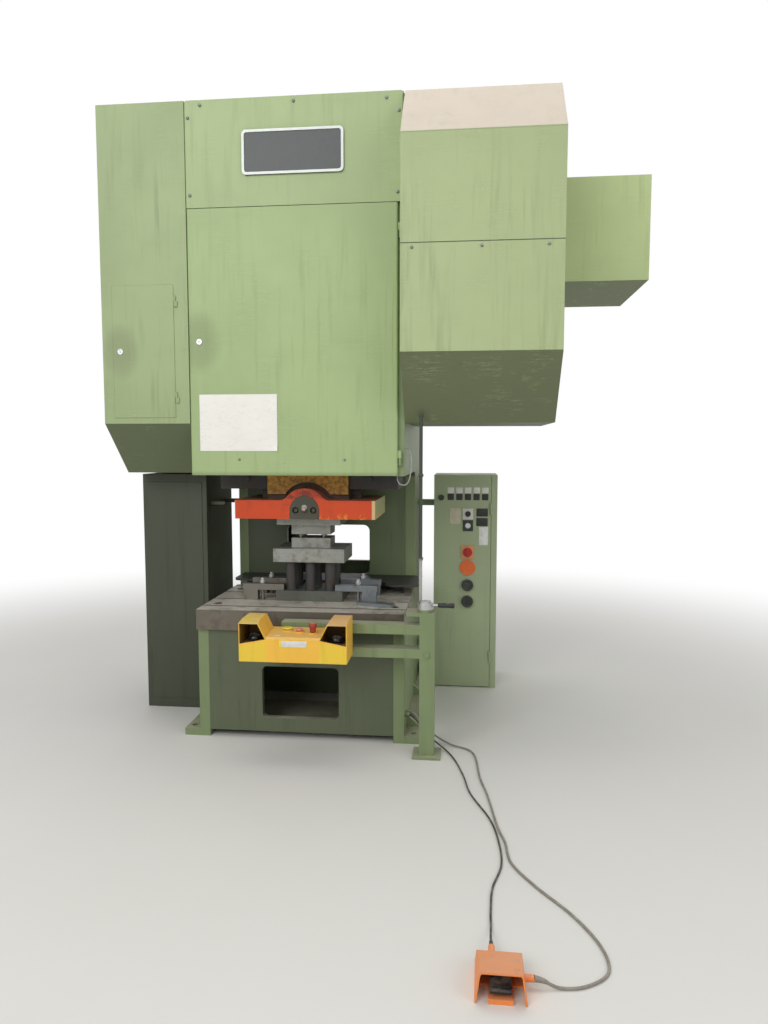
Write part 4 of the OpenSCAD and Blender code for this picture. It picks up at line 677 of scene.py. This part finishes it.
def boot(name, line, radius, finish):
    """Strain relief: a ribbed sleeve over the first stretch of a cable, which tapers off."""
    reach, rib_pitch, parts = 0.042, 0.0035, 6
    sleeve, shares, gone = [], [], 0.0
    for a, b in zip(line, line[1:]):
        for k in range(parts):
            p = a + (b - a) * (k / parts)
            here = gone + (b - a).length * k / parts
            if here > reach:
                break
            t = here / reach
            rib = 0.12 if int(here / rib_pitch) % 2 == 0 and t < 0.85 else 0
            sleeve.append(p)
            shares.append(2.0 - 0.75 * t + rib)
        gone += (b - a).length
        if gone > reach:
            break
    return curve_piece(name, sleeve, radius, finish, "frame", taper=shares)


# Routes of the cables and the hose, in millimetres as in the part's source
cable_route = [
    (616, -300, 150), (640, -305, 142), (690, -330, 92), (760, -360, 42), (850, -410, 12),
    (972, -502, 6), (1007, -815, 6), (1040, -1010, 6), (1075, -1299, 6), (1103, -1440, 6),
    (1120, -1597, 6), (1200, -1750, 6), (1310, -1910, 6), (1378, -2050, 6), (1400, -2160, 6),
    (1380, -2235, 6), (1305, -2290, 6), (1230, -2304, 8), (1182, -2303, 26), (1152, -2303, 32),
]
lead_route = [
    (616, -345, 150), (640, -352, 140), (690, -384, 92), (756, -430, 42), (826, -488, 10),
    (878, -610, 6), (924, -800, 6), (960, -1000, 6), (1046, -1246, 6), (1078, -1450, 6),
    (1080, -1620, 6), (1041, -1780, 6), (1030, -1920, 6), (1028, -2020, 8), (1025, -2100, 26),
    (1025, -2171, 36),
]
loop_route = [
    (548, -370, 1500), (548, -374, 1480), (562, -380, 1458), (590, -384, 1452),
    (612, -384, 1475), (622, -380, 1530), (624, -374, 1590), (618, -368, 1632),
    (605, -364, 1648), (590, -362, 1652),
]


def cable(name, route, radius, finish, node):
    line = smooth_line(route)
    made = curve_piece(name, line, radius, finish, "frame")
    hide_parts(node)
    boots = [boot(name + "_boot", line, radius, finish),
             boot(name + "_far_boot", line[::-1], radius, finish)]
    length_of(line)
    print(name, "length", round(length_of(line), 3))


cable("foot_cable_sheath", cable_route, 0.005, cord_grey, "foot_cable")
cable("foot_lead_sheath", lead_route, 0.004, cord_black, "foot_lead")


# The pipe to the console, with its collars, and the hose loop at the door
def conduit():
    line = smooth_line(loop_route)
    hose = curve_piece("door_hose", line, 0.0033, hose_grey, "frame")
    length_of(line)
    print("door_hose length", round(length_of(line), 3))
    bm = bmesh.new()
    x, y = 0.683, -0.466
    turned(bm, [(0, 0.783), (0.015, 0.783), (0.015, 0.806), (0.012, 0.809), (0.009, 0.809),
                (0.009, 1.813), (0.0125, 1.814), (0.0125, 1.836), (0.009, 1.837), (0, 1.837)],
           (x, y, 0), (0, 0, 1), 24)
    for z in (1.05, 1.5):
        block(bm, (x - 0.013, y - 0.013, z), (x + 0.013, y + 0.013, z + 0.016), 0.003)
    piece("console_pipe", bm, pipe_grey, "frame", replaces=["conduits"])


conduit()


# Domed screws on the covers and the door
def screw(bm, at, axis, r=0.0085, h=0.004):
    turned(bm, [(0, h), (r * 0.55, h * 0.9), (r * 0.9, h * 0.5), (r, 0), (r, -0.002), (0, -0.002)],
           at, axis, 16)


def cover_screws():
    head_face, guard_face = -0.4335, -0.7145
    bm = bmesh.new()
    for x, z in [(-0.51, 3.476), (0, 3.476), (0.494, 3.47), (-0.578, 3.414), (-0.574, 3.011),
                 (0.559, 3.404), (0.552, 2.993)]:
        screw(bm, (x, head_face - 0.001, z), (0, -1, 0))
    for x in (0.648, 0.99, 1.313):
        screw(bm, (x, guard_face, 2.637), (0, -1, 0), 0.0075)
    piece("cover_screws", bm, strap_steel, "frame")
    bm = bmesh.new()
    for x in (-0.322, 0.265):
        screw(bm, (x, head_face, 1.590), (0, -1, 0), 0.0065)
    piece("door_screws", bm, strap_steel, "main_door")


cover_screws()


# The bare sheet on the door: it bellies a little, and its lower right corner stands off
def door_sheet():
    bm = bmesh.new()
    x0, x1, z0, z1, y = -0.544, -0.107, 1.637, 1.947, -0.4326
    bmesh.ops.create_grid(bm, x_segments=44, y_segments=32, size=0.5)
    for v in bm.verts:
        u, w = v.co.x + 0.5, v.co.y + 0.5
        belly = 0.0012 * math.sin(math.pi * u) * math.sin(math.pi * w)
        ripple = 0.0006 * math.sin(9 * u + 3 * w) * math.sin(5 * w + 1)
        curl = 0.006 * max(0.0, u - 0.9) * 10 * max(0.0, 0.12 - w) * 8
        v.co = Vector((x0 + (x1 - x0) * u, y - belly - ripple - curl, z0 + (z1 - z0) * w))
    bm.normal_update()
    bmesh.ops.solidify(bm, geom=bm.faces, thickness=0.0004)
    piece("door_sheet", bm, paper_in_sleeve, "main_door", angle=60)


door_sheet()


def rounded_plate(bm, low, high, radius, y0, y1, steps=6):
    """An upright plate with round corners. low and high are (x, z)."""
    ring = []
    for i, (x, z) in enumerate([(high[0], high[1]), (low[0], high[1]), (low[0], low[1]),
                                (high[0], low[1])]):
        x += radius if i in (1, 2) else -radius
        z += radius if i in (2, 3) else -radius
        for k in range(steps + 1):
            a = math.radians(90 * (i + k / steps))
            ring.append((x + radius * math.cos(a), z + radius * math.sin(a)))
    face = bm.faces.new([bm.verts.new((x, y0, z)) for x, z in ring])
    moved = bmesh.ops.extrude_face_region(bm, geom=[face])["geom"]
    bmesh.ops.translate(bm, vec=(0, y1 - y0, 0),
                        verts=[v for v in moved if isinstance(v, bmesh.types.BMVert)])


# Labels and plates on the control cabinet's door
def cabinet_labels():
    bm = bmesh.new()
    face = 0.660
    for i in range(5):
        x = 0.817 + i * 0.058
        block(bm, (x - 0.022, face - 0.0015, 1.3445), (x + 0.022, face, 1.384), 0.0006)
    block(bm, (1.009, face - 0.0015, 0.992), (1.071, face, 1.116), 0.0006)
    piece("cabinet_labels", bm, label_white, "cabinet_door")
    bm = bmesh.new()
    rounded_plate(bm, (0.812, 1.135), (0.885, 1.243), 0.016, face - 0.002, face)
    piece("cabinet_sign", bm, label_beige, "cabinet_door")
    bm = bmesh.new()
    for z0, z1 in ((1.187, 1.242), (1.122, 1.177)):
        block(bm, (0.991, face - 0.002, z0), (1.068, face, z1), 0.0008)
    for z in (1.2285, 1.1635):
        block(bm, (0.996, face - 0.0026, z - 0.006), (1.063, face - 0.0019, z + 0.006), 0.0003)
    piece("cabinet_plates", bm, black_plastic, "cabinet_door")


cabinet_labels()


# The label on the console's front with its stripe, and the badge on its deck
def console_label():
    bm = bmesh.new()
    face = -0.800
    block(bm, (-0.008, face - 0.0012, 0.642), (0.124, face, 0.674), 0.0005)
    turn = Matrix.Rotation(math.atan(0.0479), 4, "X")
    block(bm, (-0.016, -0.006, -0.0006), (0.016, 0.006, 0.0009), 0.0004)
    badge = [v for v in bm.verts if v.co.y > -0.1]
    bmesh.ops.transform(bm, matrix=Matrix.Translation((-0.038, -0.762, 0.6913)) @ turn,
                        verts=badge)
    piece("console_label", bm, label_white, "frame")
    bm = bmesh.new()
    block(bm, (-0.018, face - 0.0012, 0.642), (-0.0085, face, 0.674), 0.0005)
    piece("console_stripe", bm, yellow_plastic, "frame")


console_label()


# Round collar and rim on the vent pipe of the motor housing
def vent_collar():
    bm = bmesh.new()
    x, y = 1.684, 0.745
    turned(bm, [(0.0645, 3.274), (0.088, 3.274), (0.088, 3.279), (0.070, 3.281), (0.066, 3.286),
                (0.0645, 3.286), (0.0645, 3.274)], (x, y, 0), (0, 0, 1), 48)
    turned(bm, [(0.0615, 3.384), (0.068, 3.384), (0.069, 3.388), (0.068, 3.392), (0.0615, 3.392),
                (0.0615, 3.384)], (x, y, 0), (0, 0, 1), 48)
    piece("vent_collar", bm, motor_box_paint, "frame")


vent_collar()


# Worn caps over the console's buttons. The deck rises to the back, and a collar stands on it.
def console_buttons():
    deck_y, deck_z, deck_rise, collar = -0.788, 0.690, 0.009 / 0.188, 0.009

    def top(y):
        return deck_z + (y - deck_y) * deck_rise + collar

    for name, x, y, r, h, finish, slot, body in [
        ("yellow_button_cap", -0.004, -0.665, 0.024, 0.009, yellow_plastic, "yellow_plastic",
         "yellow_button"),
        ("pink_button_cap", 0.064, -0.690, 0.019, 0.012, pink_plastic, "pink_plastic",
         "pink_button"),
    ]:
        bm = bmesh.new()
        z = top(y) + 0.0003
        turned(bm, [(0, z - 0.03), (0.008, z - 0.03), (0.008, z), (r - 0.002, z), (r, z + 0.001),
                    (r, z + h - 0.004), (r - 0.003, z + h - 0.001), (0, z + h)],
               (x, y, 0), (0, 0, 1), 32)
        piece(name, bm, finish, body, replaces=[body])
    bm = bmesh.new()
    x, y = 0.138, -0.705
    z = top(y) + 0.0003
    turned(bm, [(0, z - 0.03), (0.008, z - 0.03), (0.008, z), (0.016, z), (0.016, z + 0.016),
                (0.019, z + 0.018), (0.021, z + 0.022), (0.021, z + 0.040), (0.0185, z + 0.0445),
                (0.012, z + 0.0457), (0, z + 0.0457)], (x, y, 0), (0, 0, 1), 36)
    piece("stop_button_head", bm, stop_red, "stop_button",
          replaces=["stop_button"])
    for side, x in (("left", -0.167), ("right", 0.267)):
        bm = bmesh.new()
        z = 0.6593
        turned(bm, [(0, z - 0.029), (0.012, z - 0.029), (0.012, z), (0.0365, z), (0.038, z + 0.002),
                    (0.038, z + 0.0115), (0.0355, z + 0.0170), (0.031, z + 0.0222),
                    (0.025, z + 0.0275), (0.018, z + 0.0320), (0.010, z + 0.0348),
                    (0, z + 0.0360)], (x, -0.715, 0), (0, 0, 1), 44)
        name = "palm_button_" + side
        piece(name + "_head", bm, palm_black, name, replaces=[name])


console_buttons()


# The grip at the end of the hand lever
def lever_grip():
    bm = bmesh.new()
    turned(bm, [(0, 0.068), (0.008, 0.068), (0.0115, 0.074), (0.013, 0.095), (0.0125, 0.120),
                (0.0145, 0.148), (0.012, 0.156), (0, 0.158)], (0.712, -0.540, 0.8213), (1, 0, 0),
           28)
    piece("lever_grip", bm, black_plastic, "hand_lever")


lever_grip()


# Floor, lamps and background. The camera sees the floor fade to white between two distances.
white_from, white_all = 2.6, 6.5


def floor_finish():
    f = Finish("floor_finish")
    soft = f.noise(0.7, 4, 0.6, seed=50)
    fine = f.noise(60, 3, 0.6, seed=51)
    base = f.mix(soft, srgb(238, 236, 231), srgb(230, 227, 220))
    surface = f.surface(base, 0.7, fine, 0.0008, 0.2)
    reach = f.add("ShaderNodeVectorMath", {"operation": "LENGTH"}, {0: f.place}, out="Value")
    seen = f.add("ShaderNodeLightPath", out="Is Camera Ray")
    white = f.add("ShaderNodeEmission", None, {"Color": (1, 1, 1, 1), "Strength": 1.0})
    f.end("ShaderNodeOutputMaterial", f.add("ShaderNodeMixShader", None, {
        0: f.rise(reach, white_from, white_all) * seen, 1: surface, 2: white,
    }))
    return f.material


def floor():
    bm = bmesh.new()
    bmesh.ops.create_grid(bm, x_segments=1, y_segments=1, size=30)
    mesh = bpy.data.meshes.new("floor")
    bm.to_mesh(mesh)
    bm.free()
    mesh.materials.append(floor_finish())
    made = bpy.data.objects.new("floor", mesh)
    bpy.context.scene.collection.objects.link(made)


floor()


def lamp(name, at, target, size, watts):
    data = bpy.data.lights.new(name, "AREA")
    data.shape = "SQUARE"
    data.size = size
    data.energy = watts
    made = bpy.data.objects.new(name, data)
    made.location = at
    made.rotation_euler = (Vector(target) - Vector(at)).to_track_quat("-Z", "Y").to_euler()
    bpy.context.scene.collection.objects.link(made)


lamp("lamp_front", (-2.5, -7.5, 5.5), (0.3, 0, 1.7), 4.5, 250)
lamp("lamp_right", (5.5, -5.0, 4.5), (0.3, 0, 1.8), 3.5, 80)
lamp("lamp_top", (0.3, 0.5, 8.0), (0.3, 0.2, 0), 5.0, 170)


def background():
    """White where the camera, gloss or glass shows it, and a soft fill light on the press."""
    world = bpy.data.worlds.new("background")
    bpy.context.scene.world = world
    world.use_nodes = True
    sky = Shading(world.node_tree)
    to_camera, through, glossy = [
        sky.add("ShaderNodeLightPath", out="Is %s Ray" % kind)
        for kind in ("Camera", "Transmission", "Glossy")
    ]
    fill = sky.add("ShaderNodeBackground", None, {
        "Color": (0.95, 0.97, 1.0, 1), "Strength": 0.42,
    })
    white = sky.add("ShaderNodeBackground", None, {"Color": (1, 1, 1, 1), "Strength": 1.0})
    sky.end("ShaderNodeOutputWorld", sky.add("ShaderNodeMixShader", None, {
        0: to_camera.at_least(through).at_least(glossy), 1: fill, 2: white,
    }))


background()
bpy.context.scene.view_settings.view_transform = "Standard"
